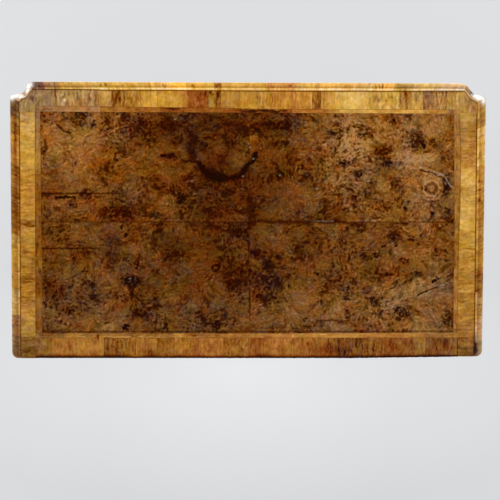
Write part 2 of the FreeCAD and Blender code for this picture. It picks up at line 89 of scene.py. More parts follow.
def spots(x, y, cell, radius, seed):
    # Round spots, one at a random place of each square cell: ease(1.6 - 1.6 distance / own radius), the
    # largest of the nine cells about
    table = np.random.RandomState(seed).uniform(0, 1, (3, 64, 64))
    u, v = x / cell + 300.0, y / cell + 300.0
    i, j = np.floor(u).astype(int), np.floor(v).astype(int)
    most = np.zeros_like(x)
    for di in (-1, 0, 1):
        for dj in (-1, 0, 1):
            own = table[:, (i + di) % 64, (j + dj) % 64]
            apart = np.hypot(u - i - di - 0.1 - 0.8 * own[0], v - j - dj - 0.1 - 0.8 * own[1]) * cell
            most = np.maximum(most, ease(1.6 - 1.6 * apart / (radius * (0.5 + own[2]))))
    return most


def crisper(values, share):
    # Each place moves away from the mean of the five by five places about it
    rows, columns = values.shape
    padded = np.pad(values, 2, mode="edge")
    mean = sum(padded[i:i + rows, j:j + columns] for i in range(5) for j in range(5)) / 25
    return values + share * (values - mean)


def spread(*values):
    # Arrays drawn out over each other's rows and columns, then stacked as the last axis
    return np.stack(np.broadcast_arrays(*values), -1)


def lengths(path):
    # How far along a path each of its points lies: the running sum of the steps' lengths
    return np.concatenate([[0], np.cumsum(np.linalg.norm(np.diff(path, axis=0), axis=1))])


def quads(rows, columns, roundColumns=False):
    # Corners (i, j), (i + 1, j), (i + 1, j + 1), (i, j + 1) of a grid of points numbered row by row
    steps = columns if roundColumns else columns - 1
    i, j = np.meshgrid(np.arange(rows - 1), np.arange(steps), indexing="ij")
    i, j = i.ravel(), j.ravel()
    here, after = i * columns, (i + 1) * columns
    beside = (j + 1) % columns
    return np.stack([here + j, after + j, after + beside, here + beside], 1)


def rimOf(rows, columns):
    # The grid's outline, once round
    i = np.arange(rows)
    j = np.arange(columns)
    return np.concatenate(
        [i[:-1] * columns, (rows - 1) * columns + j[:-1], i[:0:-1] * columns + columns - 1, j[:0:-1]]
    )


def ofEachPlace(values, rows, columns):
    # Each value drawn out over the grid, one row for a place; the grain map has two numbers there
    made = {}
    for key, value in values.items():
        shape = (rows, columns, 2) if key == "grain" else (rows, columns)
        made[key] = np.broadcast_to(np.asarray(value, float), shape).reshape(rows * columns, *shape[2:])
    return made


def slab(face, push, values=None):
    # A leaf: the grid face (rows, columns, 3), its outline moved by push, walls between and a flat back
    rows, columns = face.shape[:2]
    rim = rimOf(rows, columns)
    points = face.reshape(-1, 3)
    count = len(points)
    back = points[rim] + np.asarray(push, float)
    here = np.arange(len(rim))
    after = (here + 1) % len(rim)
    walls = np.stack([rim[after], rim[here], count + here, count + after], 1)
    part = {
        "points": np.concatenate([points, back]),
        "faces": [quads(rows, columns), walls, (count + here[::-1])[None]],
    }
    for key, value in ofEachPlace(values or {}, rows, columns).items():
        part[key] = np.concatenate([value, value[rim]])
    return part


def tube(rings, values, capped=True):
    # Rings of points (rings, points round, 3) joined in order, with flat ends
    count, around = rings.shape[:2]
    part = {"points": rings.reshape(-1, 3), "faces": [quads(count, around, roundColumns=True)]}
    if capped:
        first = np.arange(around)
        part["faces"] += [first[None], ((count - 1) * around + first[::-1])[None]]
    return {**part, **ofEachPlace(values, count, around)}


def lathe(profile, x, y, around, values):
    # Turned work: each profile point (radius, height) is carried round the upright axis at x, y.
    # Radii of nought are made 0.02 mm, so that the flat ends close it.
    turn = np.linspace(0, 2 * math.pi, around, endpoint=False)
    radius = np.maximum(profile[:, 0], 0.02)[:, None]
    return tube(spread(x + radius * np.cos(-turn), y + radius * np.sin(-turn), profile[:, 1:2]), values)


def arcPoints(start, through, end, count=8):
    # The circle through three points of a plane: the centre is where |p - c| is the same for all three
    a, b, c = (np.asarray(p, float) for p in (start, through, end))
    centre = np.linalg.solve(2 * np.array([b - a, c - a]), [b @ b - a @ a, c @ c - a @ a])
    angles = [math.atan2(*(p - centre)[::-1]) for p in (a, b, c)]
    span = (angles[2] - angles[0]) % (2 * math.pi)
    if (angles[1] - angles[0]) % (2 * math.pi) > span:
        span -= 2 * math.pi
    turn = angles[0] + np.linspace(0, span, count + 1)[1:]
    return centre + np.linalg.norm(a - centre) * np.stack([np.cos(turn), np.sin(turn)], 1)


def drawn(steps, count=8):
    # A section from its steps: two numbers are a corner, four are an arc's crown and its end
    points = [np.array(steps[0], float)[None]]
    for step in steps[1:]:
        if len(step) == 4:
            points.append(arcPoints(points[-1][-1], step[:2], step[2:], count))
        else:
            points.append(np.array(step, float)[None])
    return np.concatenate(points)


def outward(path, closed=False):
    # In plan, the direction to the right of the way along the path at each of its points, lengthened at
    # mitres: (n1 + n2) / (1 + n1 . n2)
    path = np.asarray(path, float)
    way = np.diff(np.concatenate([path, path[:1]]) if closed else path, axis=0)
    way /= np.linalg.norm(way, axis=1)[:, None]
    side = np.stack([way[:, 1], -way[:, 0]], 1)
    if closed:
        before, after = np.roll(side, 1, 0), side
    else:
        before, after = np.concatenate([side[:1], side]), np.concatenate([side, side[-1:]])
    return (before + after) / (1 + (before * after).sum(1))[:, None]


def stations(joints, pitch, extra=(), line=0.5):
    # Places along a run of veneers: each is divided by the pitch and has a narrow dark margin at both ends
    joints = np.sort(np.asarray(joints, float))
    places, which, dark = [], [], []
    for k, (a, b) in enumerate(zip(joints[:-1] + 0.01, joints[1:] - 0.01)):
        inside = np.linspace(a + line, b - line, max(2, int((b - a) / pitch) + 1))
        more = [e for e in extra if a + line + 0.01 < e < b - line - 0.01]
        inside = np.unique(np.concatenate([inside, more]))
        places.append(np.concatenate([[a], inside, [b]]))
        which.append(np.full(len(inside) + 2, k))
        dark.append(np.concatenate([[1.0], np.zeros(len(inside)), [1.0]]))
    return np.concatenate(places), np.concatenate(which), np.concatenate(dark)


def across(width, count, line=0.5):
    # Shares from 0 to 1 over a width, with a narrow margin at both edges
    edge = line / width
    return np.concatenate([[0], np.linspace(edge, 1 - edge, count), [1]])


valueNames = ["tint", "red", "grey", "plum", "olive", "pale", "seam"]


def makePiece(name, parts, finish, body="carcass", replaced=(), sharp=35):
    # Joins the parts into one mesh, in metres, with its grain map and its values, and puts it on its body
    count, points, loops, totals = 0, [], [], []
    for part in parts:
        for faces in part["faces"]:
            faces = np.asarray(faces)
            loops.append((faces + count).ravel())
            totals.append(np.full(len(faces), faces.shape[1]))
        points.append(part["points"])
        count += len(part["points"])
    points = np.concatenate(points) * 0.001
    loops, totals = np.concatenate(loops), np.concatenate(totals)
    starts = np.concatenate([[0], np.cumsum(totals)[:-1]])
    mesh = bpy.data.meshes.new(name)
    mesh.vertices.add(count)
    mesh.vertices.foreach_set("co", points.astype(np.float32).ravel())
    mesh.loops.add(len(loops))
    mesh.loops.foreach_set("vertex_index", loops.astype(np.int32))
    mesh.polygons.add(len(totals))
    mesh.polygons.foreach_set("loop_start", starts.astype(np.int32))
    mesh.polygons.foreach_set("loop_total", totals.astype(np.int32))
    mesh.polygons.foreach_set("use_smooth", np.ones(len(totals), bool))
    mesh.update(calc_edges=True)
    if any("grain" in part for part in parts):
        grain = np.concatenate([part.get("grain", np.zeros((len(part["points"]), 2))) for part in parts])
        layer = mesh.uv_layers.new(name="grain")
        layer.data.foreach_set("uv", (grain[loops] * 0.001).astype(np.float32).ravel())
    for key in valueNames:
        if any(key in part for part in parts):
            values = np.concatenate([part.get(key, np.zeros(len(part["points"]))) for part in parts])
            attribute = mesh.attributes.new(key, "FLOAT", "POINT")
            attribute.data.foreach_set("value", values.astype(np.float32))
    mesh.set_sharp_from_angle(angle=math.radians(sharp))
    mesh.materials.append(finish)
    made = bpy.data.objects.new(name, mesh)
    scene.collection.objects.link(made)
    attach(made, body)
    if replaced:
        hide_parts(*replaced)
    return made


def newFinish(name):
    # A material whose node tree is empty
    finish = bpy.data.materials.new(name)
    finish.use_nodes = True
    finish.node_tree.nodes.clear()
    return finish, finish.node_tree


def put(tree, kind, sockets=None, **settings):
    # A shader node with its settings, each socket set to a value or joined to another's output
    made = tree.nodes.new("ShaderNode" + kind)
    for key, value in settings.items():
        setattr(made, key, value)
    for key, value in (sockets or {}).items():
        if isinstance(value, bpy.types.NodeSocket):
            tree.links.new(value, made.inputs[key])
        else:
            made.inputs[key].default_value = value
    return made.outputs


def calc(tree, how, *numbers, clamp=False):
    # One sum of numbers or outputs
    return put(tree, "Math", dict(enumerate(numbers)), operation=how, use_clamp=clamp)[0]


def centred(tree, value, gain, base, clamp=False):
    # (value - 0.5) * gain + base
    return calc(tree, "MULTIPLY_ADD", calc(tree, "SUBTRACT", value, 0.5), gain, base, clamp=clamp)


def excess(tree, first, second, gain, clamp=True):
    # What the first has over the second, times gain
    return calc(tree, "MULTIPLY", calc(tree, "SUBTRACT", first, second, clamp=True), gain, clamp=clamp)


def dappled(tree, tone, pattern, share, clamp=False):
    # tone * (share * pattern + 1 - share / 2)
    factor = calc(tree, "MULTIPLY_ADD", pattern, share, 1 - share / 2)
    return calc(tree, "MULTIPLY", tone, factor, clamp=clamp)


def ramp(tree, factor, stops):
    # The factor picks a colour between the stops' colours
    made = tree.nodes.new("ShaderNodeValToRGB")
    elements = made.color_ramp.elements
    for k, (place, colour) in enumerate(stops):
        element = elements[k] if k < 2 else elements.new(place)
        element.position = place
        element.color = srgb(*colour)
    tree.links.new(factor, made.inputs[0])
    return made.outputs[0]


def blendColour(tree, factor, first, second):
    # first * (1 - factor) + second * factor
    return put(tree, "Mix", {0: factor, 6: first, 7: second}, data_type="RGBA")[2]


def valueOf(tree, name):
    # A value that the piece keeps for each of its points
    return put(tree, "Attribute", attribute_name=name, attribute_type="GEOMETRY")["Fac"]


def noise(tree, where, scale, detail, rough=0.55, distortion=0.0):
    # Noise from 0 to 1 with this many cells to a metre
    return put(tree, "TexNoise", {
        "Vector": where, "Scale": scale, "Detail": detail, "Roughness": rough, "Distortion": distortion,
    })[0]


def surface(tree, sockets):
    # The one shader of a material, with these sockets set or joined
    put(tree, "OutputMaterial", {"Surface": put(tree, "BsdfPrincipled", sockets)[0]})


# The finishes

# What each turn of the colour adds to red, green and blue
hueTurns = {"red": (16, -3, -26), "grey": (-17, 3, 24), "plum": (10, -8, 7), "olive": (-9, 8, -8)}


def turnedStops(stops, turn):
    # The same ramp with its light end turned: colour + turn * how light the stop is
    turned = []
    for place, colour in stops:
        share = min(1, 0.15 + max(colour) / 110)
        turned.append((place, tuple(min(255, max(0, c + t * share)) for c, t in zip(colour, turn))))
    return turned


def woodShader(tree, tone, stops, look, height):
    # The tone picks the colour; the piece's own values turn it, make it pale (pale wood, and painted
    # highlights) or darken a joint
    colour = ramp(tree, tone, stops)
    for key, turn in look["turns"].items():
        colour = blendColour(tree, valueOf(tree, key), colour, ramp(tree, tone, turnedStops(stops, turn)))
    colour = blendColour(tree, valueOf(tree, "pale"), colour, srgb(*look["paleTone"]))
    colour = blendColour(tree, valueOf(tree, "seam"), colour, srgb(*look["joint"]))
    gloss = calc(tree, "MULTIPLY_ADD", height, look["roughSpan"], look["rough"] - look["roughSpan"] / 2)
    bump = put(tree, "Bump", {"Strength": look["bump"], "Distance": look["bumpDepth"], "Height": height})[0]
    surface(tree, {
        "Base Color": colour,
        "Roughness": gloss,
        "Normal": bump,
        "Specular IOR Level": look["shine"],
        "Specular Tint": (*look["sheen"], 1.0),
        "Coat Weight": look["polish"],
        "Coat Roughness": 0.16,
    })


grainLook = {
    "along": 9.0,  # streaks per metre along the grain
    "across": 420.0,  # and across it
    "streak": 0.42,
    "figure": 0.30,
    "fleck": 0.20,
    "rough": 0.42,
    "roughSpan": 0.12,
    "bump": 0.25,
    "bumpDepth": 0.0004,
    "shine": 0.3,
    "polish": 0.04,
    "sheen": (1.0, 0.8, 0.6),  # the colour of straight reflections
    "joint": (60, 36, 14),
    "paleTone": (232, 222, 206),
    "turns": hueTurns,
}


def grainFinish(name, stops, axis=None, **changes):
    # Straight-grained wood: noise drawn out along the grain in three sizes. axis is the grain's axis of the
    # object, or None where the piece has its own grain map, whose first number runs along the grain.
    look = {**grainLook, **changes}
    finish, tree = newFinish(name)
    where = put(tree, "TexCoord")["Object"] if axis else put(tree, "UVMap", uv_map="grain")[0]
    lie = [k == (axis or "x") for k in "xyz"]

    def drawnOut(along, across, *rest):
        scale = tuple(look["along"] * along if k else look["across"] * across for k in lie)
        return noise(tree, put(tree, "Mapping", {"Vector": where, "Scale": scale})[0], 1.0, *rest)

    streak = drawnOut(1, 1, 5.0, 0.62, 0.25)
    figure = drawnOut(0.7, 0.09, 3.0, 0.6, 0.8)
    fleck = drawnOut(14, 3.2, 2.0, 0.7)
    tone = centred(tree, streak, look["streak"] * 2, valueOf(tree, "tint"))
    tone = centred(tree, figure, look["figure"] * 2, tone)
    pore = excess(tree, 0.42, fleck, look["fleck"] * 10, clamp=False)
    tone = calc(tree, "ADD", calc(tree, "SUBTRACT", tone, pore), 0.5, clamp=True)
    woodShader(tree, tone, stops, look, streak)
    return finish


burrStops = [
    (0.0, (16, 3, 0)), (0.16, (49, 10, 0)), (0.28, (67, 26, 2)), (0.41, (85, 43, 9)), (0.53, (103, 58, 19)),
    (0.66, (122, 75, 30)), (0.78, (140, 91, 42)), (0.91, (158, 107, 56)), (1.0, (174, 126, 76)),
]
burrLook = {
    "curl": 0.42,
    "fine": 0.24,
    "rough": 0.40,
    "roughSpan": 0.10,
    "bump": 0.25,
    "bumpDepth": 0.0004,
    "shine": 0.12,
    "polish": 0.0,
    "sheen": (1.0, 0.5, 0.15),
    "joint": (46, 22, 8),
    # paleTone is the colour of the pale strokes and of the painted glint highlights
    "paleTone": (212, 190, 160),
    "turns": hueTurns,
}


def burrFinish(name, ownMap, stops=burrStops, **changes):
    # Burr: the tone times 1 + noise, with a bent noise for the short curls and a finer one for the fibres.
    # Where the piece has no placed figure of its own, a broad one, dark flecks and pips come first.
    look = {**burrLook, **changes}
    finish, tree = newFinish(name)
    where = put(tree, "UVMap", uv_map="grain")[0] if ownMap else put(tree, "TexCoord")["Object"]
    bend = put(tree, "TexNoise", {"Vector": where, "Scale": 34.0, "Detail": 2.0})[1]
    bend = put(tree, "VectorMath", {0: bend, 1: (0.5, 0.5, 0.5)}, operation="SUBTRACT")[0]
    bent = put(tree, "VectorMath", {0: bend, 1: (0.012,) * 3, 2: where}, operation="MULTIPLY_ADD")[0]
    curl = noise(tree, bent, 330.0, 2.0, 0.6, 0.3)
    fine = noise(tree, bent, 900.0, 2.0, 0.7, 0.3)
    tone = valueOf(tree, "tint")
    if ownMap:
        broad = noise(tree, bent, 11.0, 4.0, 0.65, 0.9)
        tone = centred(tree, broad, 1.1, calc(tree, "ADD", tone, 0.56))
        crowd = excess(tree, noise(tree, where, 14.0, 2.0), 0.40, 5.0)
        fleck = excess(tree, noise(tree, bent, 90.0, 3.0, 0.7, 0.9), 0.50, 2.8)
        pips = put(tree, "TexVoronoi", {"Vector": bent, "Scale": 150.0, "Randomness": 1.0})[0]
        pips = excess(tree, 0.36, pips, 2.6)
        dark = calc(tree, "MULTIPLY", calc(tree, "MAXIMUM", fleck, pips), crowd)
        tone = calc(tree, "MULTIPLY", tone, calc(tree, "MULTIPLY_ADD", dark, -0.75, 1.0))
    tone = dappled(tree, tone, curl, look["curl"])
    tone = dappled(tree, tone, fine, look["fine"], clamp=True)
    woodShader(tree, tone, stops, look, curl)
    return finish


def metalFinish(name, stops, metal, rough, scale):
    # Worn metal: the colour and the gloss both follow a mottled noise
    finish, tree = newFinish(name)
    where = put(tree, "TexCoord")["Object"]
    mottle = noise(tree, where, scale, 4.0, 0.62, 0.4)
    fine = noise(tree, where, scale * 9, 2.0)
    tone = centred(tree, mottle, 1.7, 0.5, clamp=True)
    gloss = calc(tree, "MULTIPLY_ADD", mottle, -0.3, rough + 0.15)
    bump = put(tree, "Bump", {"Strength": 0.3, "Distance": 0.0003, "Height": fine})[0]
    colour = ramp(tree, tone, stops)
    surface(tree, {"Base Color": colour, "Metallic": metal, "Roughness": gloss, "Normal": bump})
    return finish


def fiveStops(second, *colours):
    # Five colours on the tone's scale: the ends, the second where it is given, the rest by quarters
    return list(zip((0.0, second, 0.5, 0.75, 1.0), colours))


stripStops = [
    (0.0, (14, 4, 0)), (0.15, (70, 28, 0)), (0.26, (104, 55, 0)), (0.32, (122, 71, 9)),
    (0.385, (134, 86, 23)), (0.445, (148, 102, 35)), (0.51, (165, 117, 43)), (0.57, (179, 132, 54)),
    (0.635, (195, 147, 66)), (0.695, (211, 161, 77)), (0.76, (225, 176, 94)), (0.82, (233, 194, 125)),
    (0.885, (240, 210, 157)), (1.0, (250, 232, 200)),
]
stripTurns = {"red": (10, 0, -28), "grey": (-20, 0, 52), "plum": (12, -10, 8), "olive": (-12, 9, -8)}
stripLook = {"curl": 0.10, "fine": 0.08, "shine": 0.15, "sheen": (1.0, 0.6, 0.3), "turns": stripTurns}
# The moulding's pale colour is nearly white: the colour of its painted highlights on the rim and the cut
# corners
mouldLook = {**stripLook, "paleTone": (252, 248, 240)}
bandStops = fiveStops(0.25, (70, 38, 12), (126, 78, 28), (176, 122, 50), (203, 152, 74), (228, 188, 120))
innerStops = fiveStops(0.3, (60, 26, 8), (118, 66, 20), (152, 94, 32), (182, 128, 66), (212, 170, 110))
mouldStops = fiveStops(0.25, (66, 34, 12), (120, 70, 24), (178, 120, 46), (206, 150, 66), (232, 190, 112))
solidStops = fiveStops(0.3, (40, 20, 9), (84, 48, 22), (112, 68, 33), (142, 94, 52), (176, 128, 80))
oakStops = fiveStops(0.3, (92, 62, 32), (140, 104, 62), (166, 128, 80), (188, 152, 104), (210, 180, 134))
pineStops = fiveStops(0.3, (104, 70, 36), (158, 118, 70), (186, 146, 92), (204, 168, 112), (222, 192, 142))
brassStops = [(0.0, (112, 78, 34)), (0.35, (176, 130, 62)), (0.7, (214, 170, 92)), (1.0, (236, 200, 126))]
ironStops = [(0.0, (34, 31, 29)), (0.5, (70, 66, 62)), (1.0, (112, 106, 100))]
waxed = {"shine": 0.34, "polish": 0.1, "rough": 0.36}
dry = {"across": 150.0, "rough": 0.65, "shine": 0.18, "polish": 0.0, "streak": 0.3}

finishes = {
    "topBurr": burrFinish("top_burr_walnut", False),
    "panelBurr": burrFinish("panel_burr_walnut", True),
    "topBand": burrFinish("top_band_walnut", False, stripStops, **stripLook),
    "topMoulding": burrFinish("top_moulding_walnut", False, stripStops, **mouldLook),
    "crossBand": grainFinish("cross_band_walnut", bandStops, shine=0.26),
    "moulding": grainFinish("moulding_walnut", mouldStops, **waxed),
    "featherBand": grainFinish("feather_band_walnut", innerStops, across=360.0, shine=0.2),
    "solidMap": grainFinish("turned_walnut", solidStops, **waxed),
    "solidX": grainFinish("solid_walnut_x", solidStops, "x"),
    "solidZ": grainFinish("solid_walnut_z", solidStops, "z"),
    "oakY": grainFinish("oak", oakStops, "y", across=300.0, rough=0.6, shine=0.2, polish=0.0),
    "pineX": grainFinish("pine_x", pineStops, "x", **dry),
    "pineZ": grainFinish("pine_z", pineStops, "z", **dry),
    "brass": metalFinish("brass", brassStops, 1.0, 0.26, 60.0),
    "iron": metalFinish("iron", ironStops, 0.9, 0.45, 90.0),
}
print("finishes made:", len(finishes))


# Floor, lamps and camera

stage = {
    "floorSize": 60.0,
    "floorTone": (222, 222, 222),
    "floorSeen": 0.80,  # share of the floor's seen colour that the lamps don't change
    "worldSeen": (221, 223, 226),
    # The pool is painted light: a paler patch on the floor's seen colour
    "paintedLightPool": (246, 247, 249),  # the paler patch of the floor behind the desk, its middle and half sizes
    "paintedPoolMiddle": (0.0, 0.49),
    "paintedPoolReach": (1.05, 0.42),
    "worldLow": (210, 212, 214),  # as the floor looks far away
    "worldAbove": (96, 96, 97),
    "worldLight": 0.36,
}


def seenRays(tree):
    # One for rays of the camera, of gloss and through clear things, nought for the others
    ray = put(tree, "LightPath")
    either = calc(tree, "MAXIMUM", ray["Is Camera Ray"], ray["Is Glossy Ray"])
    return calc(tree, "MAXIMUM", either, ray["Is Transmission Ray"])


def makeFloor():
    # A square of 60 m whose seen colour is mostly its own; a painted pool of light, a paler patch, lies
    # behind the desk
    half = stage["floorSize"] / 2
    corners = [(-half, -half, 0), (half, -half, 0), (half, half, 0), (-half, half, 0)]
    mesh = bpy.data.meshes.new("floor")
    mesh.from_pydata(corners, [], [(0, 1, 2, 3)])
    floor = bpy.data.objects.new("floor", mesh)
    scene.collection.objects.link(floor)
    finish, tree = newFinish("floor")
    plain = put(tree, "BsdfDiffuse", {"Color": srgb(*stage["floorTone"])})[0]
    place = put(tree, "Mapping", {
        "Vector": put(tree, "TexCoord")["Object"],
        "Location": (*stage["paintedPoolMiddle"], 0.0),
        "Scale": (*stage["paintedPoolReach"], 1.0),
    }, vector_type="TEXTURE")[0]
    paintedLightPool = put(tree, "TexGradient", {0: place}, gradient_type="SPHERICAL")[1]
    tone = blendColour(tree, paintedLightPool, srgb(*stage["worldSeen"]), srgb(*stage["paintedLightPool"]))
    seen = put(tree, "Emission", {"Color": tone, "Strength": 1.0})[0]
    share = calc(tree, "MULTIPLY", seenRays(tree), stage["floorSeen"])
    put(tree, "OutputMaterial", {"Surface": put(tree, "MixShader", {0: share, 1: plain, 2: seen})[0]})
    mesh.materials.append(finish)


def makeWorld():
    # The camera and the gloss see a pale wall, darker towards the ceiling; other rays get an even light
    world = bpy.data.worlds.new("studio")
    world.use_nodes = True
    tree = world.node_tree
    tree.nodes.clear()
    height = put(tree, "SeparateXYZ", {0: put(tree, "TexCoord")["Generated"]})[2]
    up = calc(tree, "MULTIPLY_ADD", height, 1.6, -0.35, clamp=True)
    wall = blendColour(tree, up, srgb(*stage["worldLow"]), srgb(*stage["worldAbove"]))
    plain = put(tree, "Background", {"Color": (1.0, 1.0, 1.0, 1.0), "Strength": stage["worldLight"]})[0]
    seen = put(tree, "Background", {"Color": wall, "Strength": 1.0})[0]
    put(tree, "OutputWorld", {"Surface": put(tree, "MixShader", {0: seenRays(tree), 1: plain, 2: seen})[0]})
    scene.world = world


def stand(name, data, right, up, back, place):
    # An object at its place, whose own axes lie along right, up and back
    made = bpy.data.objects.new(name, data)
    scene.collection.objects.link(made)
    rows = [(right[k], up[k], back[k], place[k]) for k in range(3)]
    made.matrix_world = Matrix(rows + [(0, 0, 0, 1)])
    return made


lamps = {
    # place, size in metres, watts; each looks at the desk's middle
    "front": ((0.1, -3.1, 2.7), 2.6, 105.0),
    "frontLeft": ((-3.2, -1.6, 2.3), 2.0, 36.0),
    "frontRight": ((3.2, -1.4, 2.3), 2.0, 44.0),
    "back": ((0.4, 3.4, 2.4), 2.4, 40.0),
}


def makeLamps():
    # Square lamps: back is the way from the desk's middle to the lamp, right lies level and up is across both
    for name, (place, size, watts) in lamps.items():
        light = bpy.data.lights.new(name, "AREA")
        light.size = size
        light.energy = watts
        way = np.array([0.0, 0.0, 0.5]) - np.array(place)
        back = -way / np.linalg.norm(way)
        right = np.cross([0, 0, 1], back)
        right /= np.linalg.norm(right)
        stand(name, light, right, np.cross(back, right), back, place)


camera = {
    "place": (0.046, -0.1232, 3.99),
    "sensor": 36,
    "focus": 1325.1 / 500,  # focal length as a share of the sensor's width
    "pitch": -0.061,
    "yaw": 0.0154,
    "roll": 0.0015,
}


def makeCamera():
    # Straight down with the desk's front at the top, then turned a little by pitch, yaw and roll:
    # (a, b) becomes (a cos t + b sin t, b cos t - a sin t)
    def turned(a, b, t):
        return a * math.cos(t) + b * math.sin(t), b * math.cos(t) - a * math.sin(t)

    right, up, ahead = (np.array(v, float) for v in ((-1, 0, 0), (0, -1, 0), (0, 0, -1)))
    ahead, up = turned(ahead, up, camera["pitch"])
    ahead, right = turned(ahead, right, camera["yaw"])
    right, up = turned(right, up, camera["roll"])
    data = bpy.data.cameras.new("camera")
    data.lens = camera["focus"] * camera["sensor"]
    data.sensor_width = camera["sensor"]
    data.clip_end = 60
    scene.camera = stand("camera", data, right, up, -ahead, camera["place"])


scene.view_settings.view_transform = "Standard"
makeFloor()
makeWorld()
makeLamps()
makeCamera()
print("floor, lamps and camera placed")


# The top: the field of burr veneer

topField = {
    "low": (-502.4, -263.4),
    "high": (502.4, 276.4),
    "face": 789.85,
    "under": 788.0,
    "cell": 1.62,
    "gap": 0.02,
    "seam": (-2.0, 5.0),
    "ground": 0.62,
    "broad": 0.05,
    "middle": 0.055,
    "patch": 0.07,
    "fibre": 0.05,
    "grit": 0.055,
    "fleck": 0.34,
    "curl": 0.13,
    "pale": 0.10,
    "pip": 0.22,
    "streak": 0.035,
    "hue": (0.45, 0.43, 0.54),  # broad, middle and fine turns of the colour towards red or grey
    "plum": 0.37,
    "crisp": 0.5,
}
# How light the field is: shares of its area and the tone that each reaches
topShares = [0, .02, .10, .25, .50, .75, .90, .98, 1]
topTones = [.09, .19, .30, .41, .52, .63, .73, .87, 1.15]

# Marks of the burr placed one by one: middle, half sizes, strength (less than nought is pale) and kind:
# n plain, r red, g grey, p plum, o orange, d a crowd of pips
topMarks = [
    (195, -156, 17, 8, 1, "p"), (163, -53, 9, 13, .95, "g"), (284, 148, 24, 13, .8, "g"),
    (282, 172, 8, 12, .5, "g"), (296, 262, 10, 8, 1, "g"), (-75, -109, 11, 12, .7, "n"),
    (-124, -128, 6, 7, .6, "n"), (-143, -107, 11, 10, .5, "g"), (-68, -228, 39, 11, .65, "r"),
    (-3, -217, 29, 10, .55, "n"), (194, -231, 22, 16, .45, "r"), (274, -226, 39, 19, .4, "p"),
    (238, -197, 19, 15, .45, "n"), (401, -252, 22, 10, .45, "g"), (374, -230, 7, 12, .45, "g"),
    (410, -235, 19, 10, .35, "n"), (394, -62, 15, 12, .5, "g"), (425, -38, 12, 10, .45, "g"),
    (315, -19, 44, 17, .45, "r"), (291, -14, 15, 10, .4, "n"), (226, -10, 17, 10, .45, "g"),
    (185, -72, 6, 12, .5, "n"), (469, -120, 12, 29, .35, "d"), (108, -181, 10, 7, .5, "n"),
    (45, -183, 13, 11, .45, "n"), (52, -68, 15, 10, .35, "n"), (89, -12, 12, 10, .4, "r"),
    (-208, -210, 19, 12, .4, "g"), (-277, -211, 15, 12, .35, "g"), (-350, -240, 7, 8, .6, "n"),
    (-403, -192, 22, 24, .35, "g"), (-421, -182, 6, 7, .9, "n"), (-444, -190, 5, 7, .5, "n"),
    (-321, -165, 17, 17, .5, "r"), (-336, -139, 12, 12, .6, "g"), (-230, -138, 22, 8, .5, "g"),
    (-266, -114, 7, 8, .6, "n"), (-298, -95, 10, 7, .4, "n"), (-479, -86, 10, 29, .5, "g"),
    (-483, -16, 10, 15, .4, "g"), (-356, -88, 10, 15, .35, "n"), (-286, -66, 12, 15, .35, "n"),
    (-220, -59, 10, 7, .35, "n"), (-257, -56, 7, 5, .6, "n"), (-377, -28, 6, 8, .7, "n"),
    (-444, -16, 7, 6, .6, "n"), (-448, -42, 6, 5, .4, "n"), (-385, -42, 4, 4, .5, "n"),
    (-223, -25, 17, 15, .35, "d"), (306, 17, 4, 6, .85, "r"), (295, 36, 5, 5, .85, "r"),
    (330, 85, 15, 44, .28, "g"), (270, 107, 6, 11, .75, "r"), (435, 223, 12, 8, .5, "r"),
    (260, 223, 16, 11, .5, "r"), (222, 194, 10, 17, .3, "g"), (468, 170, 24, 22, .3, "d"),
    (491, 204, 6, 12, .5, "p"), (379, 158, 7, 7, .45, "n"), (395, 124, 12, 4, .5, "n"),
    (26, 31, 12, 11, .7, "r"), (9, 38, 10, 12, .4, "n"), (-16, 80, 13, 12, .6, "p"),
    (79, 116, 11, 11, .75, "r"), (-47, 106, 12, 12, .5, "g"), (-57, 152, 24, 19, .45, "g"),
    (-26, 184, 7, 7, .7, "p"), (-50, 191, 15, 7, .4, "g"), (40, 165, 17, 10, .4, "g"),
    (50, 152, 15, 12, .35, "r"), (-122, 74, 12, 15, .45, "d"), (-167, 129, 6, 4, .95, "r"),
    (-176, 198, 6, 7, .5, "g"), (118, 228, 10, 12, .4, "r"), (76, 255, 12, 10, .55, "p"),
    (98, 255, 12, 6, .5, "n"), (-265, 14, 17, 12, .45, "g"), (-352, 38, 15, 15, .5, "g"),
    (-226, 52, 12, 10, .35, "g"), (-309, 86, 8, 5, .65, "n"), (-285, 86, 7, 4, .5, "n"),
    (-379, 96, 10, 7, .4, "n"), (-357, 60, 5, 5, .5, "n"), (-304, 130, 29, 24, .35, "d"),
    (-411, 128, 10, 8, .45, "g"), (-450, 147, 5, 4, .6, "n"), (-460, 140, 7, 5, .5, "g"),
    (-307, 198, 10, 12, .45, "g"), (-237, 191, 7, 7, .5, "n"), (-244, 235, 6, 6, .7, "n"),
    (-239, 223, 6, 12, .4, "g"), (-371, 225, 22, 15, .5, "g"), (-364, 240, 5, 4, .6, "n"),
    (-290, 169, 12, 10, .3, "n"), (-486, 237, 15, 19, .35, "g"), (9, 138, 58, 27, .3, "n"),
    (26, -145, 17, 22, -.35, "n"), (195, -48, 22, 12, -.3, "n"), (455, -40, 24, 7, -.25, "n"),
    (-148, -121, 34, 97, -.2, "n"), (333, 260, 17, 8, -.6, "n"), (262, 60, 29, 10, -.35, "n"),
    (272, 75, 15, 7, -.4, "n"), (-416, 157, 34, 12, -.35, "n"), (-16, 111, 15, 12, -.3, "o"),
    (-389, -153, 68, 17, -.3, "n"), (-196, -182, 15, 7, -.3, "n"), (-125, 206, 39, 34, -.2, "n"),
    (-232, -85, 48, 10, -.2, "n"), (-3, -196, 17, 7, -.5, "o"), (347, 194, 19, 34, -.15, "n"),
    (394, -120, 53, 63, -.2, "n"),
]
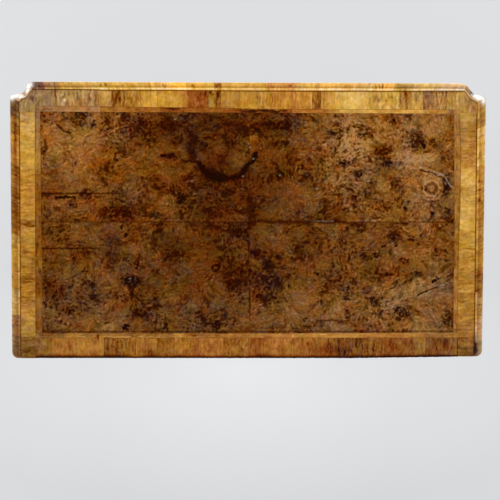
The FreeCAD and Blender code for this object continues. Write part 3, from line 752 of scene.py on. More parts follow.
# Strokes: half width, strength and the points they pass
topStrokes = [
    (7.0, .6, (132, -198), (140, -186), (142, -171), (136, -154)),
    (3.2, .7, (160, -142), (138, -143), (122, -136), (104, -120)),
    (1.4, .6, (140, -150), (124, -142), (112, -128)), (5.4, .9, (118, -132), (106, -120), (96, -110)),
    (7.4, 1, (98, -111), (84, -104), (66, -99)), (5.6, 1, (66, -99), (46, -101), (30, -105), (16, -114)),
    (4.2, .95, (16, -114), (4, -127), (-7, -141), (-15, -152)), (4.4, 1, (-14, -150), (-17, -160)),
    (1.7, .7, (461, -229), (446, -215), (428, -209)), (2.2, .9, (465, -51), (450, -56), (417, -53)),
    (1.5, .55, (498, -63), (310, -64)), (1.5, .6, (499, 69), (369, 69)),
    (7.7, .5, (-8, -49), (-3, -20), (-6, 9)), (4.4, .45, (-40, 4), (-233, 4)),
    (1.1, .7, (-412, 181), (-426, 174), (-446, 166), (-463, 160)), (1.0, -.5, (-463, 160), (-494, 147)),
    (1.5, .35, (500, 271), (-496, 270)), (2.4, .5, (118, 249), (57, 252)),
    (2.4, .5, (-169, 245), (-247, 247)), (2.4, .5, (-84, 189), (-94, 198)),
    (2.2, -.35, (-345, -131), (-389, -128), (-414, -126)),
    (2.0, -.3, (-340, -147), (-390, -143), (-440, -148), (-485, -142)),
    (2.0, -.25, (-345, -160), (-400, -156), (-450, -162), (-480, -158)),
    (0.85, -.65, (-414, -128), (-430, -121), (-446, -119), (-462, -114), (-472, -108), (-480, -97),
     (-487, -86), (-492, -81)),
    (0.9, -.6, (-432, -114), (-446, -113), (-462, -109)),
    (1.3, .7, (-414, -122), (-440, -116), (-468, -104), (-478, -92)), (0.9, -.45, (-262, 1), (-308, 1)),
    (0.9, -.35, (-152, 3), (-205, 2)), (2.2, -.6, (329, -212), (312, -221), (295, -228), (274, -235)),
    (2.9, -.4, (-1, -251), (-2, -198)), (6.0, -.35, (202, -178), (154, -164)),
    (1.2, .2, (-1, -258), (-3, 272)), (1.4, .3, (498, 5), (-493, 4)), (1.9, .5, (-2, 169), (-2, 223)),
]
# Painted highlights: small pale spots where light glints on the burr's relief, each given by its middle
topGlints = [
    (376, -242), (315, -150), (178, -242), (1, -184), (-3, -176), (-11, -148), (-75, -109), (-165, -76),
    (137, -94), (261, 102), (171, 139), (287, 142), (14, -106), (-464, 13), (437, 251),
]
# Wide soft zones, partly the burr's own lighter and darker areas and partly painted light and shade: middle,
# half sizes, lift of the tone
topZones = [
    (440, -190, 120, 90, .17), (60, -225, 170, 50, -.17), (-330, -210, 200, 70, .19),
    (80, -100, 95, 85, -.2), (-60, -110, 80, 70, -.1), (-430, -80, 110, 110, .13),
    (310, -225, 50, 30, .1), (60, -60, 80, 40, .1), (200, 70, 60, 40, -.14), (460, 240, 60, 40, .1),
    (-380, -100, 60, 50, .1), (-300, -100, 90, 60, .05), (60, 20, 110, 80, -.13), (310, 0, 110, 60, -.06),
    (-40, 120, 110, 60, -.1), (150, 110, 110, 60, -.08), (-400, 220, 150, 90, .22),
    (-200, 240, 110, 50, .10), (440, 40, 80, 60, .02), (-430, 60, 90, 60, .06), (-245, -160, 45, 90, .14),
    (-243, -40, 50, 40, .08), (-345, -125, 35, 50, -.16), (447, 48, 60, 40, -.07),
    (251, 135, 60, 40, -.05), (-442, 223, 60, 50, -.08), (447, -39, 50, 30, .06), (-45, 135, 40, 40, .06),
    (53, 48, 40, 40, .06), (100, -211, 60, 40, .05), (-144, -211, 40, 40, -.05),
    (350, -125, 50, 40, -.04), (-243, -211, 50, 50, .09), (-243, -125, 50, 60, .05),
    (-243, -39, 50, 40, .06), (152, 48, 50, 50, .05), (53, 135, 60, 50, .05), (-45, 135, 50, 40, .03),
]
# Where dark flecks and pips crowd together: middle, half sizes, how much (less than nought is smooth wood)
topCrowds = [
    (278, -223, 52, 28, .9), (310, -173, 42, 24, .6), (341, -120, 24, 19, .4), (264, -108, 42, 24, .5),
    (298, -31, 66, 28, .8), (394, -60, 24, 19, .5), (168, -228, 47, 33, .7), (127, -190, 21, 28, .9),
    (48, -183, 33, 24, .7), (101, -73, 59, 28, .7), (159, -56, 19, 19, .8), (81, -32, 59, 28, .8),
    (423, -192, 59, 42, -.8), (399, -101, 59, 33, -.8), (257, -144, 38, 21, -.9),
    (192, -168, 33, 24, -.8), (168, -118, 47, 16, -.9), (202, -39, 28, 19, -.9), (38, -142, 28, 19, -.9),
    (455, -48, 33, 24, -.5), (-77, -239, 71, 28, .8), (-87, -186, 38, 24, .7), (-85, -126, 33, 24, .9),
    (-143, -114, 28, 21, .7), (-210, -218, 28, 19, .6), (-282, -218, 28, 24, .5),
    (-215, -167, 33, 19, .6), (-283, -136, 71, 28, .7), (-329, -153, 28, 28, .9), (-233, -40, 52, 28, .8),
    (-303, -47, 59, 28, .5), (-415, -192, 24, 24, .7), (-13, -42, 28, 35, .8), (-474, -88, 19, 28, .5),
    (-32, -133, 24, 19, -.7), (-95, -56, 66, 33, -.8), (-128, -205, 33, 24, -.4),
    (-423, -153, 52, 16, -.8), (-387, -110, 42, 19, -.5), (-371, -64, 28, 19, -.6), (462, 29, 38, 19, .4),
    (400, 70, 28, 12, .4), (468, 182, 33, 28, .8), (396, 199, 28, 24, .7), (379, 162, 12, 12, .6),
    (335, 85, 14, 38, .5), (272, 104, 19, 14, .8), (176, 77, 33, 19, .5), (258, 230, 33, 28, .5),
    (118, 226, 24, 24, .5), (64, 233, 38, 24, .5), (38, 53, 33, 28, .8), (38, 128, 38, 33, .8),
    (335, 211, 33, 24, -.6), (118, 94, 28, 24, -.8), (127, 150, 33, 24, -.7), (222, 153, 47, 28, -.3),
    (-18, 77, 24, 19, .9), (-64, 143, 28, 38, .9), (-42, 186, 28, 14, .7), (-127, 77, 19, 19, .5),
    (-216, 60, 33, 19, .4), (-285, 89, 42, 12, .5), (-304, 128, 33, 19, .8), (-227, 152, 33, 19, .6),
    (-186, 198, 28, 19, .5), (-234, 184, 24, 12, .6), (-315, 191, 19, 19, .6), (-357, 35, 24, 24, .5),
    (-389, 120, 38, 19, .5), (-378, 230, 24, 16, .8), (-468, 16, 19, 19, .8), (-478, 242, 16, 19, .6),
    (-274, 11, 19, 14, .6), (-42, 29, 33, 24, -.6), (-122, 126, 33, 24, -.7), (-284, 55, 38, 12, -.7),
    (-407, 176, 42, 19, -.8), (-113, 216, 59, 28, -.7), (-269, 250, 28, 9, -.6),
]
# Wide soft turns of the colour: middle, half sizes, towards red or, less than nought, towards grey
topHues = [
    (425, -150, 110, 70, .35), (300, -90, 110, 60, .2), (180, -60, 90, 60, .15), (-60, -150, 90, 60, .1),
    (440, 225, 90, 60, -.35), (250, 240, 120, 50, -.3), (0, 240, 150, 50, -.22),
    (-260, 235, 150, 50, -.2), (-440, 200, 90, 80, -.25), (440, 90, 80, 60, -.1),
]
# Rings: middle, radius, half width, strength, and the way and half angle of an arc (nought for all round)
topRings = [
    (-442, -78, 11, 3.2, .35, 0, 0), (-442, -78, 19, 2.2, -1.1, 0, 0),
    (-442, -78, 28, 2.0, -.4, 2.6, 1.4), (-442, -78, 33, 2.0, .3, 2.6, 1.4),
    (-8, -174, 22, 2.4, -.5, 3.9, .9), (-8, -174, 29, 2.4, -.5, 3.9, .9),
    (-8, -174, 36, 2.4, -.45, 3.9, .9), (246, 94, 24, 3.0, -.4, 3.9, 1.3),
    (246, 94, 33, 3.0, -.4, 3.9, 1.3), (246, 94, 12, 8.0, -.12, 0, 0),
]


def burrGround(x, y):
    # The wood as it grew: clouds on places that other clouds bend. Dark flecks, curls and pips come where
    # they crowd, and light streaks between them. Curls are a steep 1 - |cloud|.
    look = topField
    u = x + np.where(x > look["seam"][0], 340.0, -260.0)  # each leaf takes its noise from elsewhere
    v = y + np.where(y > look["seam"][1], 190.0, -410.0)
    u += 0.3 * (v - y)
    wx, wy = (a + 11 * layers(u, v, 80, 2, 0.5, seed) for a, seed in ((u, 11), (v, 31)))
    bx, by = (a + 3.0 * layers(wx, wy, 22, 2, 0.5, seed) for a, seed in ((wx, 21), (wy, 41)))
    fx, fy = (a + 1.6 * cloud(wx, wy, 9, seed) for a, seed in ((wx, 23), (wy, 43)))
    crowd = 0.42 + 0.36 * layers(wx, wy, 80, 4, 0.75, 95)
    for *place, more in topCrowds:
        crowd += (0.6 if more > 0 else 0.35) * more * hill(x, y, *place)
    crowd = ease(crowd)
    tone = look["ground"] + look["broad"] * layers(wx, wy, 190, 2, 0.8, 51)
    tone -= look["patch"] * (crowd - 0.4) * 2
    tone += look["middle"] * layers(bx, by, 46, 3, 0.8, 61)
    tone += look["fibre"] * cloud(fx * 0.7, fy * 1.1, 7.5, 79) * 1.5
    tone += look["grit"] * layers(fx, fy, 5.2, 2, 0.8, 87) * 1.5
    fleck = cloud(bx * 0.85, by * 1.05, 19, 75) + 0.55 * cloud(wx, wy, 10, 76)
    tone -= look["fleck"] * ease((fleck - 0.1) * 1.6) * (0.25 + 0.75 * crowd)
    for size, seed in ((26, 71), (15, 72)):
        ridge = np.clip(1 - np.abs(cloud(bx, by * 1.15, size, seed)) * 4.5, 0, 1)
        tone -= look["curl"] * ridge * ease(0.5 + 1.6 * cloud(wx, wy, 26, seed + 20)) * (0.4 + 0.6 * crowd)
    tone += look["pale"] * ease((layers(bx * 0.8, by * 1.1, 12, 2, 0.7, 83) - 0.22) * 3) * (0.3 + 0.7 * crowd)
    tone -= look["pip"] * spots(wx, wy, 11.0, 3.6, 97) * ease((crowd - 0.3) * 3)
    # The zones lift or lower the tone over wide areas: partly the wood's own figure, partly painted light and
    # shade
    for *place, lift in topZones:
        tone += lift * hill(x, y, *place)
    streak = cloud(wx * 0.2 + 0.3 * wy, wy, 6.5, 89)
    tone += look["streak"] * streak * (1 - 0.8 * crowd)
    broad, middle, fine = look["hue"]
    hue = broad * layers(wx, wy, 110, 2, 0.8, 81) + middle * cloud(wx, wy, 26, 83)
    hue += fine * cloud(wx, wy, 13, 85)
    hue += 0.08 * streak * (1 - crowd)
    for *place, lift in topHues:
        hue += lift * hill(x, y, *place)
    plum = look["plum"] * (layers(wx, wy, 60, 2, 0.8, 86) + 0.9 * cloud(wx, wy, 14, 88) - 0.25)
    return tone, {"warm": hue, "plum": plum}


def burrMarks(x, y, tone, hues):
    # The marks placed one by one, their outlines bent a little. A dark one draws the tone to nearly nought by
    # its cover, a pale one adds to it. A ring's cover is exp(-((distance - radius) / half width)^2)
    bx = x + 4 * cloud(x, y, 20, 101) + 3 * cloud(x, y, 8, 103)
    by = y + 4 * cloud(x, y, 20, 102) + 3 * cloud(x, y, 8, 104)
    rough = 0.9 + 1.0 * layers(x, y, 8, 2, 0.8, 107)
    turns = {"r": ("warm", 1), "g": ("warm", -1), "p": ("plum", 1), "o": ("warm", 1)}
    pale = np.zeros_like(x)
    for mx, my, rx, ry, strength, kind in topMarks:
        near = np.hypot((bx - mx) / rx, (by - my) / ry)
        cover = ease((1.4 - near) / 0.8) * abs(strength)
        if kind in turns:
            key, way = turns[kind]
            hues[key] = hues[key] + way * cover * 0.8
        if strength > 0:
            deep = np.clip(cover * rough * (0.6 if kind == "d" else 1.25), 0, 0.96)
            tone = tone * (1 - deep) + 0.05 * deep
        else:
            tone = tone + cover * 0.31
    for half, strength, *line in topStrokes:
        line = np.array(line, float)
        near = np.full(x.shape, 1e9)
        bent = 0.3 if half < 2 else 1.0  # thin strokes run straighter
        sx, sy = x + bent * (bx - x), y + bent * (by - y)
        for a, b in zip(line[:-1], line[1:]):
            way = b - a
            along = np.clip(((sx - a[0]) * way[0] + (sy - a[1]) * way[1]) / (way @ way), 0, 1)
            near = np.minimum(near, np.hypot(sx - a[0] - along * way[0], sy - a[1] - along * way[1]))
        cover = np.exp(-((near / (half * (0.95 + 0.45 * rough))) ** 2)) * abs(strength)
        if strength > 0.7:
            cover = np.clip(cover * 1.3, 0, 0.97)
        if strength > 0:
            tone = tone * (1 - cover) + 0.03 * cover
        elif half < 2:
            pale = np.maximum(pale, cover * np.clip(rough * 1.6 - 1.0, 0, 0.7))
        else:
            tone = tone + cover * 0.375
    sx, sy = x + 0.4 * (bx - x), y + 0.4 * (by - y)
    for rx, ry, radius, half, strength, way, span in topRings:
        cover = np.exp(-(((np.hypot(sx - rx, sy - ry) - radius) / half) ** 2)) * abs(strength)
        if span:
            apart = np.abs((np.arctan2(sy - ry, sx - rx) - way + math.pi) % (2 * math.pi) - math.pi)
            cover = cover * ease((span - apart) / 0.4 + 0.5)
        tone = tone * (1 - cover * 0.8) if strength > 0 else tone + cover * 0.31
    # Painted highlights: each glint is a small pale spot put into the pale value
    for gx, gy in topGlints:
        pale = np.maximum(pale, 0.36 * hill(x, y, gx, gy, 2.2, 1.5))
    return tone, hues, pale


def makeTopField():
    # Four leaves of veneer that meet at the seam, each a fine grid of places. The tone of a place is read off
    # topTones by the share of the whole field that is darker.
    look = topField
    gap = look["gap"]
    low, seam, high = look["low"], look["seam"], look["high"]
    leaves = []
    for depth, y0, y1 in (("front", low[1], seam[1]), ("back", seam[1], high[1])):
        for hand, x0, x1 in (("left", low[0], seam[0]), ("right", seam[0], high[0])):
            xs = np.linspace(x0 + gap, x1 - gap, int((x1 - x0) / look["cell"]) + 1)
            ys = np.linspace(y0 + gap, y1 - gap, int((y1 - y0) / look["cell"]) + 1)
            x, y = np.meshgrid(xs, ys, indexing="ij")
            leaves.append(("top_burr_leaf_" + depth + "_" + hand, x, y, *burrGround(x, y)))
    limits = np.quantile(np.concatenate([leaf[3].ravel() for leaf in leaves]), topShares)
    for name, x, y, tone, hues in leaves:
        tone, hues, pale = burrMarks(x, y, np.interp(tone, limits, topTones), hues)
        tone = crisper(tone, look["crisp"])
        edge = np.minimum(np.minimum(x - low[0], high[0] - x), np.minimum(y - low[1], high[1] - y))
        z = look["face"] + 0.07 * layers(x, y, 120, 2, 0.5, 111) * ease(edge / 20)
        values = {
            "tint": np.clip(tone, 0, 1.4),
            "pale": np.clip(pale, 0, 1),
            "red": np.clip(hues["warm"], 0, 1),
            "grey": np.clip(-hues["warm"], 0, 1),
            "plum": np.clip(hues["plum"], 0, 1),
            "olive": np.clip(-hues["plum"], 0, 1),
        }
        part = slab(spread(x, y, z), (0, 0, look["under"] - look["face"]), values)
        makePiece(name, [part], finishes["topBurr"], replaced=["top_burr_veneer"])


makeTopField()
print("burr field laid")


# The top: cross bands, inner band and moulding, all of veneers side by side whose grain runs across the strip

topLevels = {"band": 789.98, "inner": 789.94, "under": 788.0, "moulding": 790.0}
topLines = {  # lines in plan: place along the line and its distance from the middle of the desk
    # Between the front band and the inner band
    "frontJoint": [(-500, -267.4), (-30, -267.2), (60, -270), (290, -271.4), (405, -273.3)],
    "frontBurr": [(-500, -257.6), (500, -259.6)],  # inner band to burr
    "backBurr": [(-500, 273.4), (-100, 275.2), (500, 275.3)],
    "backJoint": [(-500, 286.2), (500, 287.2)],
    "leftBurr": [(-259.7, 500.8), (20, 500.0), (120, 498.8), (280, 500.5)],
    "leftJoint": [(-259.7, 513.7), (285, 515.9)],
    "rightBurr": [(-259.7, -494.6), (0, -498.8), (280, -499.0)],
    "rightJoint": [(-259.7, -507.2), (-180, -512.3), (-40, -512.5), (60, -510), (285, -508.6)],
    "backEdge": [(-554, 331.5), (-460, 333.2), (-260, 336), (554, 336)],
    # Width of the moulding's lip along the front, and how far the moulding stands out
    "frontLip": [
        (-520, 3), (-435, 3), (-400, 4.2), (-260, 4.2), (0, 4.6), (60, 4.3), (180, 3.4), (335, 4.2),
        (390, 2.4), (520, 2.1),
    ],
    "frontReach": [(-520, 0.58), (-508, 0.72), (-494, 0.80), (508, 0.82), (520, 0.80)],
}
# The top's edge from the photo's right rear corner round the front: place, width of the moulding's lip and
# how far the moulding stands out as a share of its section
topEdge = [
    ((-554, 331.5), 2.8, 0.86), ((-554, -285), 3.9, 0.94), ((-534, -296.5), 3.4, 0.62),
    ((-520, -315), 3.0, 0.58), ((520, -315), 2.1, 0.80), ((534, -296.5), 2.2, 0.54),
    ((554, -285), 3.3, 1.0), ((554, 336), 1.7, 1.0),
]
# Where the side strips begin and end, and the widths of the strips
bandPlan = {
    "sideStart": -259.7, "leftEnd": 336.0, "rightEnd": 331.5,
    "front": 43.0, "back": 48.0, "side": 38.0, "inner": 12.5,
}
topCorner = 9.0  # radius of the rear corners
cornerSteps = topCorner * np.array([1, 0.8, 0.6, 0.4, 0.25, 0.12, 0.04])  # where their arcs are divided

# Veneers of each strip: where one begins, its tone, its turn to red (less than nought: grey) and to plum
# (less than nought: olive), how wild its figure is, and how dark the joint is (nought: a slow change)
frontRun = [
    (-554, .58, -.5, -.1, .5, 0), (-508, .59, -.4, -.05, .6, .3), (-477, .54, -.45, .1, 1, 0),
    (-443, .5, -.85, .1, .6, .3), (-419, .61, -.15, 0, .5, .6), (-390, .56, -.2, .1, .5, 0),
    (-364, .655, -.02, -.15, .5, .4), (-286, .71, -.05, -.15, .1, .5), (-207, .63, .1, .1, .2, .6),
    (-186, .54, .2, .3, .3, 0), (-173, .42, .15, .3, .8, .2), (-152, .59, .3, .2, .3, .2),
    (-147, .555, .55, .4, .4, 0), (-55, .57, .25, .15, .5, .3), (-20, .57, .3, 0, .3, .4),
    (22, .54, .15, .1, .3, .6), (67, .41, .1, .2, .9, .5), (80, .46, .15, 0, .5, .4),
    (99, .4, .65, .75, .5, .7), (147, .5, .75, .55, .5, 0), (159, .56, .5, .2, .3, 0),
    (174, .6, .35, 0, .25, 0), (220, .61, .35, 0, .1, .6), (256, .56, .3, .05, .4, 0),
    (268, .53, .2, .1, .5, .2), (292, .47, .05, .05, 1, 0), (330, .585, -.25, .05, .3, .2),
    (359, .55, -.5, .1, .5, 0), (371, .59, -.9, -.1, .7, .4), (432, .56, -.85, -.1, .9, 0),
    (463, .5, -1.2, -.1, .4, .5), (494, .52, -1.5, -.3, .6, 0), (554,),
]
backRun = [
    (-510, .37, -.45, 0, .5, 0), (-498, .35, -.5, .2, .7, .7), (-457, .355, -.5, .2, .5, .7),
    (-431, .41, -.4, .1, .4, .3), (-401, .38, -.2, .3, .5, .7), (-372, .36, -.2, .35, .6, 0),
    (-322, .37, -.2, .2, .8, .7), (-279, .3, -.4, .1, .8, .3), (-216, .36, -.2, .35, .7, .3),
    (-190, .4, 0, .5, .6, 0), (-156, .45, .2, .6, .5, .4), (-128, .43, .15, .5, .5, .3),
    (-98, .45, .35, .6, .4, 0), (-48, .38, .15, .6, .5, .2), (0, .43, .1, .4, .8, .5),
    (21, .41, .1, .3, .5, .3), (40, .42, .2, .5, .5, .4), (61, .455, .35, .65, .4, .3),
    (121, .43, .2, .6, .5, .6), (134, .45, .25, .35, .5, 0), (179, .39, .05, .3, .5, .3),
    (220, .43, .15, .35, .4, 0), (273, .42, .1, .2, .6, .6), (299, .39, -.1, .2, .9, 0),
    (350, .47, .1, .4, .3, .7), (399, .465, .1, .45, .4, 0), (440, .44, .1, .4, .4, 0),
    (478, .4, -.3, 0, .4, 0), (516,),
]
innerFront = [
    (-507, .53, -.5, .2, .3, 0), (-480, .6, .05, .3, .4, 0), (-421, .635, .2, .15, .2, 0),
    (-335, .62, .2, .15, .3, 0), (-305, .655, 0, 0, .2, 0), (-218, .58, .1, .2, .3, .4),
    (-190, .48, .5, .6, .3, 0), (-104, .38, .35, .5, .5, .4), (-75, .33, 0, .3, .9, 0),
    (20, .37, .5, .5, .4, 0), (155, .34, .2, .5, .6, .3), (213, .44, .45, .5, .4, 0),
    (300, .45, .15, .3, .4, 0), (357, .53, -.85, .35, .3, .5), (440, .45, -.9, .1, .4, 0), (514,),
]
innerBack = [
    (-510, .445, -.45, .2, .4, 0), (-427, .49, -.1, .45, .3, 0), (-368, .515, .1, .6, .3, .4),
    (-280, .535, 0, .4, .3, 0), (-105, .495, 0, .6, .3, .3), (-47, .45, -.1, .4, .4, 0),
    (10, .475, .1, .5, .4, 0), (70, .44, 0, .4, .4, .4), (155, .5, -.15, .3, .3, 0),
    (185, .42, -.2, .15, .4, 0), (301, .45, -.15, .2, .4, .4), (446, .385, -.3, -.1, .4, 0), (516,),
]
mouldingFront = [
    (-520, .8, -1.3, 0, .3, 0), (-457, .76, -.7, -.25, .4, 0), (-392, .68, -.5, -.25, .6, 0),
    (-348, .82, .2, .2, .5, .2), (-305, .73, -.4, -.1, .4, 0), (-262, .76, 0, 0, .3, .3),
    (-197, .805, .6, .1, .2, 0), (-175, .77, 0, 0, .3, 0), (-132, .71, 0, .1, .3, .3),
    (-112, .64, -.1, .4, .4, 0), (-45, .69, .05, 0, .3, .3), (66, .6, .1, .1, .7, .3),
    (83, .72, .1, -.1, .3, .3), (105, .75, .5, 0, .4, 0), (149, .815, .85, .1, .3, 0),
    (192, .77, .1, 0, .3, 0), (235, .66, .1, -.2, .3, .3), (257, .69, .1, -.1, .4, 0),
    (342, .7, -.1, -.2, .3, .3), (405, .65, 0, -.2, .4, 0), (450, .54, -.6, 0, .5, 0),
    (490, .4, -1.2, -.2, .5, .2), (520,),
]
leftRun = [
    (-259.7, .59, -.7, -.1, .5, .3), (-236, .645, -.25, -.05, .3, 0), (-205, .61, .1, -.05, .4, 0),
    (-150, .61, .3, -.1, .4, .4), (-122, .555, .45, .2, .5, 0), (-60, .58, .3, .15, .6, .3),
    (-20, .54, .4, .2, .5, 0), (1, .44, .15, .1, .9, 0), (18, .54, .15, .1, .4, .4),
    (62, .5, .3, .05, .5, 0), (130, .465, .25, .15, .6, .4), (175, .5, .2, .2, .4, 0),
    (205, .535, 0, .2, .4, 0), (240, .53, -.15, -.05, .3, 0), (284, .375, -.45, -.1, .7, .7),
    (305, .33, -.7, -.4, .5, 0), (336,),
]
rightRun = [
    (-259.7, .56, -.1, 0, .3, .3), (-240, .5, -.15, .05, .5, 0), (-200, .52, -.15, .15, .5, 0),
    (-172, .54, .05, .25, .5, 0), (-148, .59, .05, .25, .4, .3), (-128, .65, .05, 0, .2, 0),
    (-85, .62, .05, .1, .4, 0), (-60, .66, -.1, -.05, .2, .4), (0, .67, .15, -.2, .3, 0),
    (20, .61, .25, -.1, .4, 0), (66, .56, .2, .1, .5, .3), (130, .54, 0, .1, .5, 0),
    (150, .57, 0, .1, .5, 0), (176, .52, .1, .1, .5, .3), (240, .5, -.15, .2, .5, 0),
    (262, .475, -.1, .3, .4, 0), (284, .42, -.1, .2, .5, .5), (306, .36, -.6, -.2, .5, 0), (331.5,),
]
innerLeft = [
    (-259, .45, -.8, -.1, .3, 0), (-225, .49, -.2, .1, .4, 0), (-110, .4, .15, .2, .4, .3),
    (-80, .365, 0, .1, .4, 0), (90, .4, .15, -.1, .4, .3), (120, .35, -.1, 0, .4, 0),
    (180, .38, -.1, .1, .4, 0), (274.6,),
]
innerRight = [
    (-258, .45, -.5, .1, .3, 0), (-200, .495, -.2, .3, .3, 0), (-85, .45, 0, .2, .4, .3),
    (30, .42, .1, .2, .4, 0), (118, .5, .05, .35, .3, .3), (236, .5, 0, .3, .3, 0),
    (262, .42, -.2, 0, .4, 0), (273,),
]
mouldingLeft = [
    (-285, .31, -1, -.3, .5, .4), (-243, .42, .1, 0, .5, 0), (-205, .485, .4, .35, .4, 0),
    (-128, .36, 0, .15, .7, .4), (-96, .385, 0, .15, .6, 0), (-28, .345, .1, .2, .6, 0),
    (22, .43, .3, .3, .4, .3), (38, .57, .05, -.05, .4, 0), (120, .53, .1, .15, .4, .3),
    (168, .6, -.4, -.1, .4, 0), (232, .465, -.65, .25, .5, .3), (278, .39, -1, -.25, .5, 0), (336,),
]
mouldingRight = [
    (-285, .5, -.4, .1, .4, .4), (-255, .47, 0, .05, .6, 0), (-222, .645, .1, 0, .3, .3),
    (-130, .55, .35, .3, .6, 0), (-65, .48, .35, .3, .5, .3), (20, .52, .25, .2, .5, 0),
    (70, .49, .3, .25, .5, 0), (132, .4, -.1, .05, .7, .3), (176, .54, -.45, .15, .5, 0),
    (242, .6, -1.3, .2, .4, 0), (290, .5, -1.9, -.2, .4, 0), (331.5,),
]
# Marks of the strips: middle, half sizes, lift of the tone, turn to red and to plum
stripMarks = [
    (540, -300, 10, 8, .10, -1, .2), (520, -290, 8, 6, -.06, 0, .3), (463, -295, 2.2, 16, -.18, 0, .1),
    (450, -301, 4, 6, .10, 0, 0), (440, -288, 4, 6, .10, 0, 0), (446, -294, 3, 4, -.10, 0, 0),
    (410, -280, 25, 10, -.03, .3, .3), (369, -292, 2, 16, -.15, 0, 0), (326, -292, 2.5, 14, -.14, .1, .1),
    (318, -296, 2.2, 12, -.16, .1, .1), (309, -290, 2.5, 14, -.15, 0, .1), (299, -294, 2, 10, -.1, 0, 0),
    (281, -284, 5, 9, -.14, .1, .1), (266, -290, 1.3, 14, -.08, 0, 0), (260, -292, 1.3, 12, -.08, 0, 0),
    (103, -304, 2.5, 8, -.2, .3, .5), (93, -306, 3, 3, -.22, 0, 0), (86, -303, 2.5, 3, -.2, 0, 0),
    (90, -280, 6, 8, .08, 0, -.1), (74, -303, 4, 10, -.12, -.2, .4), (74, -324, 5, 7, -.15, -.1, .3),
    (27, -278, 5, 6, -.08, .1, .2), (-20, -292, 1.6, 15, -.14, 0, 0), (-25, -290, 1.3, 12, -.1, 0, 0),
    (-43, -294, 1.5, 12, -.1, 0, .1), (-56, -288, 1.6, 14, -.12, 0, .1), (-63, -292, 1.6, 12, -.08, 0, 0),
    (-69, -290, 1.5, 10, -.1, 0, 0), (-90, -292, 3, 16, .05, 0, 0), (-104, -290, 4, 14, -.04, .1, .1),
    (-120, -292, 3, 16, .05, 0, 0), (-158, -296, 1.2, 8, .14, 0, 0), (-165, -286, 1.2, 6, .14, 0, 0),
    (-306, -296, 3, 6, -.12, 0, 0), (-314, -288, 3, 5, -.14, 0, 0), (-320, -298, 3, 6, -.12, 0, 0),
    (-330, -290, 3, 4, -.15, .2, .2), (-344, -296, 3, 4, -.15, .2, .2),
    (-363.5, -292, 1.8, 15, -.16, 0, .1), (-378, -303, 9, 8, -.2, .2, .2),
    (-380, -288, 2, 10, -.12, .2, .2), (-402, -290, 3, 8, -.12, 0, 0), (-431, -299, 8, 9, -.07, -.4, .2),
    (-431, -279, 8, 7, -.05, .4, .2), (-490, -262, 6, 4, -.1, 0, .5), (-541, -270, 8, 9, -.03, -.3, .6),
    (183, -267, 13, 3, -.2, 0, .1), (20, -264, 9, 3, -.12, 0, 0), (-8, -262, 12, 3, -.14, 0, 0),
    (-35, -265, 12, 3, -.16, 0, 0), (-60, -261, 12, 3, -.14, 0, 0), (-84, -264, 8, 3, -.1, 0, 0),
    (500, -322, 22, 10, -.1, -.3, .2), (355, -323, 2.5, 3.5, -.25, 0, 0),
    (345, -325, 2.5, 3.5, -.25, 0, 0), (208, -324, 2.5, 3, -.2, .2, 0), (201, -322, 2.5, 3, -.2, .2, 0),
    (135, -323, 3, 4, -.25, .2, .2), (-100, -322, 4, 3.5, -.22, 0, .2), (-163, -320, 1.5, 6, -.18, 0, 0),
    (-168, -323, 1.5, 6, -.16, 0, 0), (-237, -322, 7, 7, -.08, .2, .1), (-306, -321, 1.8, 8, -.18, 0, 0),
    (-314, -323, 1.8, 8, -.16, 0, 0), (-322, -321, 1.8, 8, -.18, 0, 0), (-373, -322, 19, 7, -.1, 0, -.1),
    (-455, -308, 50, 1.2, -.12, 0, 0), (-560, -158, 6, 9, -.14, .1, .2), (-557, -96, 3, 4, -.2, .2, .1),
    (-557, -72, 3, 4, -.2, .2, .1), (-558, -50, 3, 4, -.18, .2, .1), (-560, 132, 6, 8, -.12, .2, .3),
    (-560, 176, 6, 8, -.1, 0, .1), (-553, 312, 5, 24, -.3, 0, 0), (562, -190, 2, 40, -.14, .1, .1),
    (365, 284, 2, 10, -.2, .1, .2), (240, 322, 10, 8, -.12, 0, 0), (-145, 300, 3, 5, -.16, .1, .1),
    (-185, 318, 40, 10, -.08, -.2, .3), (-352, 305, 12, 14, -.05, .4, .4), (-478, 305, 8, 14, -.08, 0, 0),
    (-455, 300, 4, 12, -.06, 0, 0), (133, 279, 8, 3, -.16, 0, 0), (300, 284.5, 150, 1.2, .12, 0, 0),
    (-185, 279, 90, 5, .03, .1, 0), (-520, -50, 3, 6, -.1, .1, .1), (-515, -72, 3, 6, -.12, .1, .1),
    (-528, -45, 4, 4, -.1, .1, .1), (-525, -152, 14, 1.5, -.08, 0, 0), (-525, -146, 14, 1.5, -.08, 0, 0),
    (535, -248, 14, 5, .02, -.3, .5), (533, 8, 16, 4, -.12, 0, .1), (532, 144, 16, 2, -.12, 0, .1),
    (534, 152, 16, 1.6, -.1, 0, .1),
]
# White glare on the cut corners, a painted highlight: middle and half sizes
cornerGlare = [
    (570, -296, 8, 9), (560, -299, 9, 8), (530, -322, 10, 10), (546, -294, 8, 7), (530, -309, 8, 8),
    (-554, -297, 12, 9), (-567, -290, 6, 9), (-543, -303, 8, 8),
]
# Painted shade in the re-entrant notch of each cut corner: middle and half sizes
cornerNotchShade = [(543, -311, 6, 7), (-539, -308, 6, 6)]

stripFigure = {
    "line": 0.05,  # streaks along the grain
    "thin": 0.10,  # thin dark lines along it
    "mottle": 0.065,
    "grit": 0.01,
    "curl": 0.09,
    "fleck": 0.12,
    "warm": 0.5,
    "plum": 0.3,
    "crisp": 0.5,
    "pitch": 1.8,
    "joint": 0.75,
}


def lineAt(name, s):
    # A line's distance from the desk's middle at the places s, straight between its points
    points = np.array(topLines[name], float)
    return np.interp(s, points[:, 0], points[:, 1])


def lineOf(name):
    # The same line as a function of the place
    return lambda s: lineAt(name, s)


